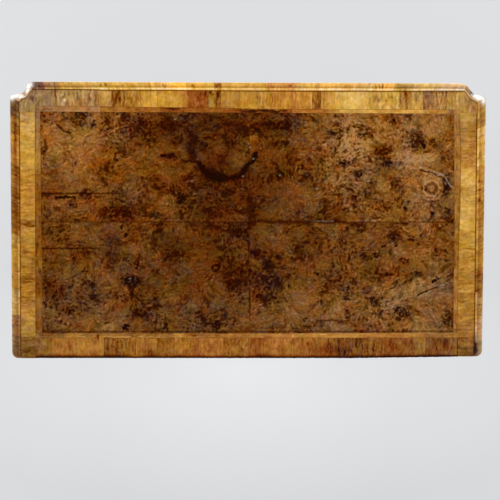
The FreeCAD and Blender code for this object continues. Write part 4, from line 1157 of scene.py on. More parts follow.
def stepped(run, s, column):
    # One number of a run's rows at the places s: each joint is a step, each slow change an ease over 12 mm
    value = np.full_like(s, run[0][column])
    for before, here in zip(run[:-2], run[1:-1]):
        value += (here[column] - before[column]) * ease((s - here[0]) / (0.04 if here[5] else 12.0) + 0.5)
    return value


def stripPlaces(run, extra=()):
    # Stations along a run, the number of the veneer at each and how dark its joint is
    joints = [run[0][0]] + [row[0] for row in run[1:-1] if row[5]] + [run[-1][0]]
    strength = np.array([run[0][5]] + [row[5] for row in run[1:-1] if row[5]] + [0.3])
    places, which, dark = stations(joints, stripFigure["pitch"], extra, 0.6)
    nearest = np.abs(places[:, None] - np.array(joints)).argmin(1)
    return places, which, dark * strength[nearest]


def stripWood(run, places, which, s, t, x, y, seed, lift=0.0):
    # Tone and turns of colour of a strip. s runs along it and t along the grain; every veneer takes its
    # noise from elsewhere. Streaks are noise drawn out along the grain, curls 1 - |noise|, flecks its high
    # places.
    look = stripFigure
    tone, warm, plum, wild = (stepped(run, places, k)[:, None] + 0 * s for k in (1, 2, 3, 4))
    tone += lift
    u, v = s + 217.0 * which[:, None], t + 131.0 * which[:, None]
    bent = u + 3 * layers(u, v, 20, 2, 0.6, seed)
    tone += look["line"] * (0.5 + wild) * layers(bent, v * 0.12, 7, 2, 0.8, seed + 1)
    thin = np.clip(1 - 5 * np.abs(cloud(bent, v * 0.05, 8, seed + 17)), 0, 1)
    tone -= look["thin"] * (0.15 + 1.2 * wild) * thin * ease(0.5 + 2 * cloud(u, v, 18, seed + 18))
    tone += look["mottle"] * layers(u, v, 30, 3, 0.8, seed + 3)
    tone += look["grit"] * layers(bent, v, 5, 2, 0.8, seed + 6)
    ridge = np.abs(cloud(bent + 2 * cloud(u, v, 8, seed + 8), v * 0.3, 9, seed + 9))
    tone -= look["curl"] * wild * np.clip(1 - 5 * ridge, 0, 1)
    tone -= look["fleck"] * wild * ease((cloud(bent, v * 0.3, 7, seed + 10) - 0.2) * 3)
    warm += look["warm"] * layers(u, v, 30, 3, 0.8, seed + 11)
    plum += look["plum"] * layers(u, v, 26, 2, 0.8, seed + 14)
    for mx, my, rx, ry, lift, red, toPlum in stripMarks:
        near = hill(x + 2.5 * cloud(x, y, 12, 77), y + 2.5 * cloud(x, y, 12, 78), mx, my, rx, ry)
        tone += 1.3 * lift * near
        warm += red * near
        plum += toPlum * near
    tone = crisper(tone, look["crisp"])
    return tone, warm, plum


def stripValues(tone, warm, plum, seam, pale=0.0):
    # The values that the finish reads, each kept within its bounds; turns below nought are the other colour's
    return {
        "tint": np.clip(tone, 0, 1.2),
        "red": np.clip(warm, 0, 1),
        "grey": np.clip(-warm / 2, 0, 1),
        "plum": np.clip(plum, 0, 1),
        "olive": np.clip(-plum, 0, 1),
        "seam": np.clip(seam + 0 * tone, 0, 1),
        "pale": np.clip(pale + 0 * tone, 0, 1),
    }


def layStrip(
    run, near, far, along, width, seed, edges, level, extra=(), half=1.2, lift=0.0, lengthwise=False,
):
    # A strip between two lines: share 0 on the near line, 1 on the far one. edges are how dark its two sides
    # are, half how wide the far side's dark is. The grain runs across or lengthwise.
    places, which, dark = stripPlaces(run, extra)
    share = across(width, int(width / stripFigure["pitch"]) + 1, 0.6)
    a, b = near(places)[:, None], far(places)[:, None]
    s = np.repeat(places[:, None], len(share), 1)
    t = a + (b - a) * share
    x, y = (s, t) if along == "x" else (t, s)
    acrossGrain, alongGrain = (t, s) if lengthwise else (s, t)
    tone, warm, plum = stripWood(run, places, which, acrossGrain, alongGrain, x, y, seed, lift)
    side = np.zeros_like(share)
    side[0], side[-1] = edges
    half = half * (1 + 0.5 * cloud(s, 0 * s, 40, seed))
    # The far side's dark: the dark joint of each strip; on the back strip, wider, it is painted shade at the
    # top's back edge
    tone *= 1 - np.clip(stripFigure["joint"] * edges[1] * np.exp(-(((b - t) / half) ** 2)), 0, 0.96)
    values = stripValues(tone, warm, plum, np.maximum(dark[:, None], side[None]))
    points = np.stack([x, y, np.full_like(x, level)], 2)
    if ((b - a).mean() > 0) != (along == "x"):
        points = points[:, ::-1]
        values = {key: value[:, ::-1] for key, value in values.items()}
    return slab(points, (0, 0, topLevels["under"] - level), values)


def topJoint():
    # Where the bands end and the moulding's lip begins: the edge moved in by the lip's width
    corners = np.array([row[0] for row in topEdge], float)
    joint = corners - outward(corners) * np.array([row[1] for row in topEdge])[:, None]
    bow = np.array([(x, -315 + lip) for x, lip in topLines["frontLip"][1:-1]])
    return np.concatenate([joint[:4], bow, joint[4:]])


def drawnIn(y, back):
    # How far the rear corners draw in: r - sqrt(r^2 - d^2)
    d = np.clip(y - (back - topCorner), 0, topCorner)
    return topCorner - np.sqrt(np.maximum(topCorner**2 - d * d, 0))


def makeTopBands():
    # The front strip runs past the side ones to the moulding, so it has their joints too. The far side of
    # each follows the moulding's lip, and the rear corners are drawn in.
    plan = bandPlan
    start, level = plan["sideStart"], topLevels["band"]
    joint = topJoint()
    front, right, left = joint[1:-1], joint[:2][::-1], joint[-2:]

    def frontFar(s):
        return np.interp(s, front[:, 0], front[:, 1])

    def frontNear(s):
        beside = (s > lineAt("leftJoint", start)) | (s < lineAt("rightJoint", start))
        return np.where(beside, start, lineAt("frontJoint", s))

    def backFar(s):
        return lineAt("backEdge", s) - 0.45 + 0.5 * cloud(s, 0 * s, 7, 9)

    def leftFar(s):
        return np.interp(s, left[:, 1], left[:, 0]) - drawnIn(s, plan["leftEnd"])

    def rightFar(s):
        return np.interp(s, right[:, 1], right[:, 0]) + drawnIn(s, plan["rightEnd"])

    low, high = joint[1][0], joint[-2][0]
    frontRows = [(low,) + frontRun[0][1:]] + frontRun[1:-1] + [(high,)]
    cornerJoints = [(513.7, .52, -1.4, -.25, .6, .15), (-507.2, .585, -.4, -.05, .6, .15)]
    frontRows = sorted(frontRows + cornerJoints, key=lambda row: row[0])
    bends = [x for x, _ in front[1:-1]]
    parts = [
        layStrip(frontRows, frontNear, frontFar, "x", plan["front"], 201, (.5, .9), level, bends),
        # The back strip's far side is darkened 5.5 mm wide: painted shade along the top's back edge
        layStrip(
            backRun, lineOf("backJoint"), backFar, "x", plan["back"], 202, (.4, 1.35), level,
            half=5.5, lift=.035,
        ),
    ]
    sides = [
        (leftRun, "leftJoint", leftFar, plan["leftEnd"], 203),
        (rightRun, "rightJoint", rightFar, plan["rightEnd"], 204),
    ]
    for run, name, far, end, seed in sides:
        steps = end - cornerSteps
        near = lineOf(name)
        parts.append(layStrip(run, near, far, "y", plan["side"], seed, (.4, .9), level, steps, lift=.02))
    makePiece(
        "top_cross_band_veneers", parts, finishes["topBand"],
        replaced=["top_cross_band"],
    )


def makeInnerBand():
    # Four strips between the burr and the cross bands, their grain lengthwise
    rows = [
        (innerFront, "frontBurr", "frontJoint", "x", 301, .015),
        (innerBack, "backBurr", "backJoint", "x", 302, .04),
        (innerLeft, "leftBurr", "leftJoint", "y", 303, 0),
        (innerRight, "rightBurr", "rightJoint", "y", 304, .01),
    ]
    parts = [
        layStrip(
            run, lineOf(near), lineOf(far), along, bandPlan["inner"], seed, (.55, .3), topLevels["inner"],
            lift=lift, lengthwise=True,
        )
        for run, near, far, along, seed, lift in rows
    ]
    makePiece(
        "top_inner_band_strips", parts, finishes["topBand"],
        replaced=["top_inner_band"],
    )


makeTopBands()
makeInnerBand()
print("bands laid")


# The top's boards and its moulding

topBoards = {"low": 764.0, "high": 788.0, "joints": [-315.0, -93.0, 116.0, 335.9]}
topMoulding = {
    "profile": [
        (0, -28), (8, -28), (8, -26), (10, -26), (13.0, -19.4, 19, -17), (21, -16), (21, -13),
        (16, -5.4, 5.6, -2.6), (3.4, -2.6), (3.4, -1.2), (3.2, -0.4, 2.4, 0), (1.2, 0), (0, 0), (-0.45, 0),
        (-0.8, 0), (-1, -0.4), (-1, -2), (0, -2),
    ],
    # Painted light and shade over the section, on the front and on the sides (a dark joint at the lip's inner
    # edge, a painted highlight on the lip and the rim, painted shade in the hollow): distance out and factor
    "frontPaintedShade": [
        (-1, 0.45), (-0.8, 0.75), (-0.5, 0.95), (-0.15, 1.22), (0.8, 1.25), (2.2, 1.0), (4.5, 0.82),
        (6, 0.80), (9, 0.87), (12, 0.90), (18, 0.92), (21, 0.95),
    ],
    "sidePaintedShade": [
        (-1, 0.45), (-0.8, 0.8), (-0.45, 1.12), (2.4, 1.1), (3.4, 1.0), (4.5, 0.9), (9, 0.94), (13, 1.04),
        (17, 1.18), (21, 1.3),
    ],
    # The rim's paleness is a painted highlight: the light that the rounded outer edge reflects
    "rim": 0.5,  # how pale the outermost edge is
    "soften": 12,
}


def cornerRun(tone, length):
    # The one veneer of a cut corner's short side
    return [(0, tone, -1.2, 0, .4, .4), (length,)]


# The pieces of moulding in order along topEdge
mouldingRuns = [
    mouldingRight, cornerRun(.62, 23.1), cornerRun(.62, 23.2), mouldingFront, cornerRun(.6, 23.2),
    cornerRun(.6, 23.1), mouldingLeft,
]


def makeTopBoards():
    # Three pine boards edge to edge, cut to the moulding's back line, the rear corners a little rounded:
    # the half width at y is read off the outline
    edge = np.array([(-315, 520), (-296.5, 534), (-285, 554)], float)
    joints = topBoards["joints"]
    face, inset = topBoards["high"] - 0.02, 0.05
    parts = []
    for a, b in zip(joints, joints[1:]):
        y = np.linspace(a + inset, b - inset, 26)
        if a == joints[0]:
            y = np.unique(np.concatenate([y, edge[:, 0]]))
        if b == joints[-1]:
            y = np.unique(np.concatenate([y, b - inset - cornerSteps]))
        half = np.interp(y, edge[:, 0], edge[:, 1]) - drawnIn(y, joints[-1])
        x = half[None] * np.linspace(-1, 1, 3)[:, None]
        y = y[None]
        if b == joints[-1]:  # the back edge isn't quite square
            y = a + (y - a) * (lineAt("backEdge", x) - 0.15 - a) / (b - a)
        parts.append(slab(spread(x, y, face), (0, 0, topBoards["low"] - topBoards["high"] + 0.02)))
    makePiece("top_pine_boards", parts, finishes["pineX"], replaced=["top_boards"])


def raised(plan, height):
    # Points in plan (rows, columns, 2) with a height, given for each row, each column or each point
    return np.concatenate([plan, np.broadcast_to(height, plan.shape[:2])[..., None]], 2)


def makeTopMoulding():
    # The section is carried along the boards' edge: place = edge + outward * distance out. Distances less
    # than nought are shares of the lip's width, the others are drawn in by the share that the edge names.
    look = topMoulding
    profile = drawn(look["profile"], 9)
    girth = lengths(profile)
    frontPaintedShade = np.interp(profile[:, 0], *zip(*look["frontPaintedShade"]))
    sidePaintedShade = np.interp(profile[:, 0], *zip(*look["sidePaintedShade"]))
    corners, lips, shares = (np.array(column, float) for column in zip(*topEdge))
    side = outward(corners)
    rings, values = [], []
    for k, run in enumerate(mouldingRuns):
        onSide = run in (mouldingRight, mouldingLeft)
        first, last = run[0][0], run[-1][0]
        places, which, dark = stripPlaces(run)
        if run is mouldingRight:  # it runs from the back to the front
            places, which, dark = places[::-1], which[::-1], dark[::-1]
            first, last = last, first
        part = ((places - first) / (last - first))[:, None]
        base, out, lip, reach = (a[k] + (a[k + 1] - a[k]) * part for a in (corners, side, lips, shares))
        if run is mouldingFront:
            lip, reach = lineAt("frontLip", places)[:, None], lineAt("frontReach", places)[:, None]
        u = profile[:, 0] * np.where(profile[:, 0] < 0, lip, reach)
        ring = raised(base[:, None] + out[:, None] * u[..., None], topLevels["moulding"] + profile[:, 1])
        if onSide:
            end = corners[0 if run is mouldingRight else -1][1]
            ring[..., 0] -= np.sign(ring[..., 0]) * drawnIn(ring[..., 1], end)
        x, y = ring[..., 0], ring[..., 1]
        s = np.repeat(places[:, None], len(profile), 1)
        lift = 0.05 if run is mouldingRight else 0.0
        tone, warm, plum = stripWood(run, places, which, s, girth[None] + 0 * s, x, y, 401 + 20 * k, lift)
        # Painted light and shade: the tone is multiplied by the section's factors
        tone = tone * (sidePaintedShade if onSide else frontPaintedShade)
        # Painted highlight along the outermost edge of the moulding
        rim = (profile[:, 0] > 20) & (profile[:, 1] > -13.1)
        pale = look["rim"] * (0.6 if onSide else 1.0) * rim + 0 * tone
        # Painted highlights: the glare makes the cut corners' moulding nearly white
        for glare in cornerGlare:
            pale = np.maximum(pale, 1.2 * hill(x, y, *glare) * (profile[:, 0] > 3))
        # Painted shade in the notch: the tone goes nearly to nought and the painted glare is taken away
        for notch in cornerNotchShade:
            tone = tone * (1 - 0.95 * hill(x, y, *notch))
            pale = pale * (1 - hill(x, y, *notch))
        rings.append(ring)
        values.append(stripValues(tone, warm, plum, dark[:, None] * 0.8, pale))
    ring = np.concatenate(rings)
    outer = profile[:, 0] > 4
    for _ in range(look["soften"]):  # the corners are worn round
        ring[1:-1, outer, :2] = (ring[:-2, outer, :2] + 2 * ring[1:-1, outer, :2] + ring[2:, outer, :2]) / 4
    joined = {key: np.concatenate([v[key] for v in values])[:, ::-1] for key in values[0]}
    makePiece(
        "top_moulding", [tube(ring[:, ::-1], joined)], finishes["topMoulding"],
        replaced=["top_edge_moulding"], sharp=40,
    )


makeTopBoards()
makeTopMoulding()
print("top's boards and moulding made")


# Veneered panels of the drawers, the door and the sides

panelLook = {
    "lift": 0.45,  # how far the veneer stands off the solid, so that the two don't flicker
    "under": 0.9,
    "segment": 78.0,
    "pitch": 26.0,
    "margin": 0.4,  # width of a veneer's dark edge
    "seam": 0.55,
}


def onPlane(corner, across, up, s, t):
    # Point = corner + across * s + up * t
    corner, across, up = (np.asarray(v, float) for v in (corner, across, up))
    return corner + s[..., None] * across + t[..., None] * up


def ringStrips(s0, t0, width, height, breadth):
    # The four mitred strips round a rectangle: outer start, outer end, inner end and inner start of each
    w, h, b = s0 + width, t0 + height, breadth
    return [
        [(s0, t0), (w, t0), (w - b, t0 + b), (s0 + b, t0 + b)],
        [(w, t0), (w, h), (w - b, h - b), (w - b, t0 + b)],
        [(w, h), (s0, h), (s0 + b, h - b), (w - b, h - b)],
        [(s0, h), (s0, t0), (s0 + b, t0 + b), (s0 + b, h - b)],
    ]


def breaks(rng, length, segment, wander):
    # The joints of a run of veneers: even parts of its length, each joint but the ends moved by chance
    count = max(1, int(round(length / segment)))
    joints = np.linspace(0, length, count + 1)
    if count > 1:
        joints[1:-1] += rng.uniform(-wander, wander, count - 1)
    return count, joints


def veneerPanel(name, corner, across, up, width, height, body, seed, cross, feather=7.0, leaves=2, hole=None):
    # A cross band, a feather band in two halves and a burr field in mirrored leaves, all on one plane.
    # hole is (s0, s1, t0, t1), left open under an escutcheon.
    look = panelLook
    margin = look["margin"]
    normal = np.cross(across, up)
    corner = np.asarray(corner, float) + normal * look["lift"]
    push = -normal * look["under"]
    rng = np.random.RandomState(seed)

    def strip(edge, turn, breadth, segment):
        # Points at share s along the strip and t over it: (a + (b - a) s) (1 - t) + (d + (c - d) s) t
        a, b, c, d = (np.array(p, float) for p in edge)
        length = np.linalg.norm(b - a)
        count, joints = breaks(rng, length, segment or length, 10)
        places, which, dark = stations(joints, look["pitch"], line=margin)
        share = np.array([0, margin / breadth, 1 - margin / breadth, 1])
        s, t = (places / length)[:, None, None], share[:, None]
        flat = (a + (b - a) * s) * (1 - t) + (d + (c - d) * s) * t
        shift = rng.uniform(0, 900, (count, 2))[which]
        tints = rng.uniform(-0.13, 0.13, count)[which]
        u, v = places[:, None], share * breadth
        values = {
            "tint": tints[:, None],
            "seam": np.maximum(dark[:, None], np.isin(share, (0, 1))) * look["seam"],
            "grain": spread(
                u * math.cos(turn) + v * math.sin(turn) + shift[:, :1],
                v * math.cos(turn) - u * math.sin(turn) + shift[:, 1:],
            ),
        }
        return slab(onPlane(corner, across, up, flat[..., 0], flat[..., 1]), push, values)

    edges = ringStrips(0, 0, width, height, cross)
    crossParts = [strip(edge, math.pi / 2, cross, look["segment"]) for edge in edges]
    featherParts = []
    for half, turn in ((0, math.pi / 4), (1, -math.pi / 4)):
        inset = cross + half * feather / 2
        size = width - 2 * cross - half * feather, height - 2 * cross - half * feather
        edges = ringStrips(inset, inset, *size, feather / 2)
        featherParts += [strip(edge, turn, feather / 2, None) for edge in edges]
    low, high, top = cross + feather, width - cross - feather, height - cross - feather
    seams = np.linspace(low, high, leaves + 1)
    shift = rng.uniform(100, 900, 2)
    burrParts = []
    for k, (left, right) in enumerate(zip(seams, seams[1:])):
        boxes = [(left, right, low, top)]
        if hole:
            s0, s1 = max(hole[0], left), min(hole[1], right)
            if s0 < s1:
                boxes = [(left, right, low, hole[2]), (left, right, hole[3], top)]
                boxes += [(left, s0, *hole[2:]), (s1, right, *hole[2:])]
        for s0, s1, t0, t1 in boxes:
            if min(s1 - s0, t1 - t0) < 0.5:
                continue
            rows = np.unique([s0, s1, max(s0, left + margin), min(s1, right - margin)])
            columns = np.unique([t0, t1, min(t1, max(t0, low + margin)), max(t0, min(t1, top - margin))])
            s, t = np.meshgrid(rows, columns, indexing="ij")
            near = np.isin(s, (left, right)) | np.isin(t, (low, top))
            mirror = right - s if k % 2 == 0 else s - left
            grain = spread(mirror + shift[0], t + shift[1])
            values = {"tint": 0.0, "seam": near * look["seam"], "grain": grain}
            burrParts.append(slab(onPlane(corner, across, up, s, t), push, values))
    for kind, parts, finish, slot in (
        ("_cross_band", crossParts, "crossBand", "cross_band_walnut"),
        ("_feather_band", featherParts, "featherBand", "inner_band_walnut"),
        ("_burr", burrParts, "panelBurr", "burr_walnut"),
    ):
        makePiece(name + kind, parts, finishes[finish], body, sharp=30)


desk = {
    "front": -305.0, "half": 545.0, "back": 330.0, "inner": 195.0, "openIn": 213.0, "openOut": 499.0,
    "stileOut": 519.0, "cant": -279.0, "low": 392.0, "high": 764.0, "ceiling": 628.0, "cupboard": 70.0,
    "topRow": 644.0,
}
door = {"left": -183.0, "right": 193.0, "low": 393.0, "high": 592.0, "key": (160.0, 490.5)}
alongX, alongY, alongZ = np.eye(3)
# Each drawer: its opening's left, right, low and high
drawerRows = {"bottom": (392.0, 504.0), "middle": (520.0, 628.0), "top": (644.0, 744.0)}
openings = {"frieze_drawer": (-195.0, 195.0, 644.0, 744.0)}
for rowName, (z0, z1) in drawerRows.items():
    openings["left_" + rowName + "_drawer"] = (-499.0, -213.0, z0, z1)
    openings["right_" + rowName + "_drawer"] = (213.0, 499.0, z0, z1)


def makeDrawerFronts():
    # Each front is 1 mm less than its opening at the sides and the top, 0.4 mm below; its hole is 8 by 14 mm
    for k, (name, (x0, x1, z0, z1)) in enumerate(sorted(openings.items())):
        x0, x1, z0, z1 = x0 + 1, x1 - 1, z0 + 0.4, z1 - 1
        middle, keyZ = (x0 + x1) / 2 - x0, z1 - 26 - z0
        veneerPanel(
            name + "_face", (x0, desk["front"], z0), alongX, alongZ, x1 - x0, z1 - z0, name, 500 + k, 14, 6,
            4 if name.startswith("frieze") else 2, hole=(middle - 4, middle + 4, keyZ - 8, keyZ + 6),
        )


def makeSidePanels():
    # The outer sides from the canted corner to the back, and the kneehole's sides as far as the cupboard
    low = desk["low"] - 2
    outer = desk["back"] - desk["cant"], desk["high"] - low
    inner = desk["cupboard"] - desk["front"] - 3, desk["ceiling"] - low
    rows = [
        ("right_side", desk["half"], desk["cant"], alongY, outer, 520, 34, 9, 2),
        ("left_side", -desk["half"], desk["back"], -alongY, outer, 521, 34, 9, 2),
        ("right_kneehole", desk["inner"], desk["cupboard"], -alongY, inner, 522, 26, 7.0, 1),
        ("left_kneehole", -desk["inner"], desk["front"] + 3, alongY, inner, 523, 26, 7.0, 1),
    ]
    for name, x, y, way, size, seed, cross, feather, leaves in rows:
        veneerPanel(name + "_face", (x, y, low), way, alongZ, *size, "carcass", seed, cross, feather, leaves)


def makeDoorFace():
    # The panel leaves the hinge side's edge free for the knuckles
    x0, z0 = door["left"], door["low"]
    wide, tall = door["right"] - x0, door["high"] - z0
    keyS, keyT = door["key"][0] - x0, door["key"][1] - z0
    veneerPanel(
        "cupboard_door_face", (x0, desk["cupboard"], z0), alongX, alongZ, wide, tall, "cupboard_door",
        530, 20, hole=(keyS - 4, keyS + 4, keyT - 8, keyT + 8),
    )


carcassFaces = {"lift": 0.45, "under": 0.9, "segment": 62.0, "bead": 4.0, "proud": 2.2, "margin": 0.4}


def faceStrip(corner, way, rise, length, breadth, seed):
    # A cross-banded strip: way runs along it, rise across it, and the grain follows rise
    look = carcassFaces
    margin = look["margin"]
    normal = np.cross(way, rise)
    rng = np.random.RandomState(seed)
    count, joints = breaks(rng, length, look["segment"], 8)
    places, which, dark = stations(joints, 40, line=margin)
    s, t = np.meshgrid(places, [0, margin, breadth - margin, breadth], indexing="ij")
    shift = rng.uniform(0, 900, (count, 2))[which]
    values = {
        "tint": rng.uniform(-0.14, 0.12, count)[which][:, None],
        "seam": np.maximum(dark[:, None], np.isin(t, (0, breadth))) * 0.5,
        "grain": spread(t + shift[:, :1], s + shift[:, 1:]),
    }
    face = onPlane(np.asarray(corner, float) + normal * look["lift"], way, rise, s, t)
    return slab(face, -normal * look["under"], values)


def makeCarcassFaces():
    # Strips on the stiles, the pedestals' inner uprights and the rails, each beside a drawer's bead, and on
    # the canted corners; then two over and under the frieze drawer
    front, b = desk["front"], carcassFaces["bead"]
    low, high, topRow = desk["low"], desk["high"], desk["topRow"]
    inner, openIn, openOut = desk["inner"], desk["openIn"], desk["openOut"]
    parts = []

    def upright(x0, x1, z0, z1):
        right = max(sign * x0, sign * x1)
        parts.append(faceStrip((right, front, z0), alongZ, -alongX, z1 - z0, x1 - x0, seed))

    def level(x0, x1, z0, z1):
        left = min(sign * x0, sign * x1)
        parts.append(faceStrip((left, front, z0), alongX, alongZ, x1 - x0, z1 - z0, seed + 7))

    seed = 540
    for sign in (-1, 1):
        upright(openOut + b, desk["stileOut"], low, high)
        seed += 1
        upright(inner + b, openIn - b, topRow - b, high)
        upright(inner, openIn - b, low, topRow - b)
        seed += 1
        for z0, z1 in ((508.0, 516.0), (632.0, 640.0), (748.0, 764.0)):
            level(openIn - b, openOut + b, z0, z1)
            seed += 1
        # The canted corner: from the stile's flat to the side
        a = np.array([desk["stileOut"] * sign, front, low])
        c = np.array([desk["half"] * sign, desk["cant"], low])
        wide = np.linalg.norm(c - a)
        way = (c - a) / wide
        parts.append(faceStrip(c if sign > 0 else a, alongZ, -sign * way, high - low, wide, seed))
        seed += 1
    parts.append(faceStrip((-inner - b, front, 748), alongX, alongZ, 2 * inner + 2 * b, 16, 560))
    parts.append(faceStrip((-inner, front, 628), alongX, alongZ, 2 * inner, 12, 561))
    makePiece("carcass_cross_band", parts, finishes["crossBand"], "carcass", sharp=30)


def makeBeads():
    # Half-round beads round each drawer's opening, mitred: u runs out over the bead's width and its height is
    # proud * sqrt(1 - (2u / width - 1)^2). The grain runs across the bead.
    look = carcassFaces
    parts = []
    turn = np.linspace(math.pi, 0, 8)
    u = look["bead"] / 2 * (1 + np.cos(turn))
    rise = look["proud"] * np.sin(turn)
    for k, (_, (x0, x1, z0, z1)) in enumerate(sorted(openings.items())):
        plan = np.array([(x0, z0), (x1, z0), (x1, z1), (x0, z1), (x0, z0)], float)
        side = outward(plan[:4], closed=True)
        side = np.concatenate([side, side[:1]])
        rings, tint, seam, grain = [], [], [], []
        rng = np.random.RandomState(570 + k)
        for j in range(4):
            length = np.linalg.norm(plan[j + 1] - plan[j])
            count = max(2, int(round(length / 55)))
            places, which, dark = stations(np.linspace(0, length, count + 1), 20, line=look["margin"])
            s = (places / length)[:, None]
            base, out = plan[j] + (plan[j + 1] - plan[j]) * s, side[j] + (side[j + 1] - side[j]) * s
            flat = base[:, None] + out[:, None] * u[None, :, None]
            rings.append(spread(flat[..., 0], desk["front"] - 0.3 - rise, flat[..., 1]))
            tint.append(rng.uniform(-0.12, 0.16, count)[which][:, None] + 0 * u)
            seam.append(dark[:, None] * 0.45 + 0 * u)
            shift = rng.uniform(0, 900, (count, 2))[which]
            grain.append(spread(u * 1.3 + shift[:, :1], places[:, None] + shift[:, 1:]))
        values = {"tint": np.concatenate(tint), "seam": np.concatenate(seam), "grain": np.concatenate(grain)}
        parts.append(tube(np.concatenate(rings), values, capped=False))
    makePiece("drawer_opening_beads", parts, finishes["moulding"], "carcass", sharp=50)


apron = {
    "half": 195.0, "top": 628.0, "low": 594.0, "step": 599.0, "spring": 612.0, "crown": 620.0,
    "face": -303.45, "bead": (1.9, 1.7),
}


def makeApron():
    # The face follows the arch: share t goes from the cut edge z(x) up to the ceiling's edge. A bead runs
    # along the cut edge: its section is an oval.
    half, top, low, step, spring = (apron[key] for key in ("half", "top", "low", "step", "spring"))
    line = drawn([
        (-half, low), (-165, low), (-152, step, -147, spring), (0, apron["crown"], 147, spring),
        (152, step, 165, low), (half, low),
    ], 14)
    x = np.unique(np.concatenate([line[:, 0], np.linspace(-half, half, 40)]))[:, None]
    z = np.interp(x, line[:, 0], line[:, 1])
    t = np.array([0, 0.04, 0.96, 1])
    h = z + (top - z) * t
    values = {
        "tint": 0.05 * cloud(x, h, 30, 590),
        "seam": np.isin(t, (0, 1)) * 0.5,
        "grain": spread(np.abs(x) + 311, h),
    }
    face = slab(spread(x, apron["face"], h), 0.9 * alongY, values)
    makePiece("apron_burr", [face], finishes["panelBurr"], "carcass", sharp=30)
    path = line[np.concatenate([[True], np.linalg.norm(np.diff(line, axis=0), axis=1) > 0.01])]
    turn = np.linspace(0, 2 * math.pi, 12, endpoint=False)
    u, v = apron["bead"][0] * np.cos(turn), apron["bead"][1] * np.sin(turn)
    flat = path[:, None] - outward(path)[:, None] * (u + 1.6)[None, :, None]
    run = lengths(path)[:, None]
    values = {"tint": 0.12 * cloud(run, turn * 0, 30, 591), "grain": spread(turn * 1.8, run)}
    bead = tube(spread(flat[..., 0], -303.6 - v, flat[..., 1]), values)
    makePiece("apron_bead", [bead], finishes["moulding"], "carcass", sharp=60)


makeDrawerFronts()
makeSidePanels()
makeDoorFace()
makeCarcassFaces()
makeBeads()
makeApron()
print("panels and beads laid")


# Legs, stretchers and feet

legPlan = {"x": (233.0, 507.0), "y": (-267.0, 292.0), "low": 88.0, "round": 1.6}
legProfile = [
    (22, 0), (22, 12), (20, 12), (20, 15), (15.4, 18.6, 14, 26), (25, 200), (28, 200), (30.5, 204, 28, 208),
    (24, 208), (20, 211), (20, 226), (21.6, 239.5, 28, 246), (28, 250), (29, 250), (29, 284),
]


def squareRing(half, soft):
    # A square with round corners, clockwise from above: corner centres at half - soft, arcs of radius soft
    lean, reach = [], []
    for quarter in range(4):
        turn = -quarter * math.pi / 2
        c, s = math.cos(turn), math.sin(turn)
        for k in (-0.5, 0.0, 0.5):  # along the side whose normal points this way
            lean.append((c + k * s, s - k * c))
            reach.append((c, s))
        for step in (0.0, 0.33, 0.67, 1.0):
            angle = turn - step * math.pi / 2
            lean.append((c + s, s - c))
            reach.append((math.cos(angle), math.sin(angle)))
    lean, reach = np.array(lean), np.array(reach)
    half = np.asarray(half, float)[:, None, None]
    return lean[None] * (half - soft) + reach[None] * soft


def makeLegs():
    # Square in plan at every height; the profile gives half the width at each height
    profile = drawn(legProfile, 8)
    fine = [profile[0]]
    for a, b in zip(profile[:-1], profile[1:]):  # long lengths are divided, so that the grain map stays true
        steps = max(1, int(np.linalg.norm(b - a) / 30))
        fine += [a + (b - a) * k / steps for k in range(1, steps + 1)]
    profile = np.array(fine)
    flat = squareRing(profile[:, 0], legPlan["round"])
    around, height = lengths(flat[0]), profile[:, 1:2]
    steep = np.abs(np.gradient(profile[:, 0]))[:, None] > 1.5
    for hand, sign in (("left", -1), ("right", 1)):
        for depth, y in zip(("front", "back"), legPlan["y"]):
            for place, x in zip(("inner", "outer"), legPlan["x"]):
                name = hand + "_" + depth + "_" + place
                seed = len(name + "_leg") * 13 + sign * 3 + int(x)
                shift = np.random.RandomState(seed).uniform(0, 900, 2)
                values = {
                    "tint": 0.10 * cloud(height + shift[0], around + shift[1], 60, 610) - 0.04,
                    # The seam value darkens the leg where its section steps in or out
                    "seam": 0.25 * steep,
                    "grain": spread(height + shift[0], around + shift[1]),
                }
                leg = tube(raised(flat + np.array([sign * x, y]), height + legPlan["low"]), values)
                makePiece(
                    name + "_pillar", [leg], finishes["solidMap"], "carcass", [name + "_leg"],
                    sharp=32,
                )


stretcherPlan = {
    "low": 62.0, "high": 88.0, "centre": (370.0, 12.5), "reach": (137.0, 279.5), "width": 42.0,
    "sagitta": 16.0, "disc": 50.0, "pad": 30.0, "padCorner": 8.0,
    "finial": [
        (0, 0), (22, 0), (22, 3.2), (21.2, 4), (12.5, 7.5, 10, 14.84), (19, 31, 13, 44.86), (9.6, 45.4),
        (8.6, 46.8), (8, 48), (10.5, 54.8, 0.02, 65.3),
    ],
}


def slabRing(width, low, high, soft):
    # A flat board's section with a rounded upper edge and an eased lower one: offsets across and heights
    half, crown, brow = width / 2, high - soft * 0.3, high - soft
    return drawn([
        (-half + 1, low), (half - 1, low), (half, low + 1), (half, brow),
        (half - soft * 0.3, crown, half - soft, high), (soft - half, high),
        (soft * 0.3 - half, crown, -half, brow), (-half, low + 1),
    ], 4)


def armLine(reach, sagitta):
    # An arm's middle line is two equal arcs that bend opposite ways. With chord c and sagitta s the radius is
    # (c^2 / 4 + s^2) / 2s.
    chord = np.linalg.norm(reach) / 2
    radius = (chord * chord / 4 + sagitta ** 2) / (2 * sagitta)
    way = reach / np.linalg.norm(reach)
    side = np.array([way[1], -way[0]])
    half = math.asin(chord / 2 / radius)
    angle = np.linspace(-half, half, 16)
    lines = []
    for start, bend in ((0.0, 1), (1.0, -1)):
        middle = way * chord * (start + 0.5)
        hub = middle - bend * side * (radius - sagitta)
        lines.append(hub + radius * (bend * side * np.cos(angle)[:, None] + way * np.sin(angle)[:, None]))
    return np.concatenate([lines[0], lines[1][1:]])


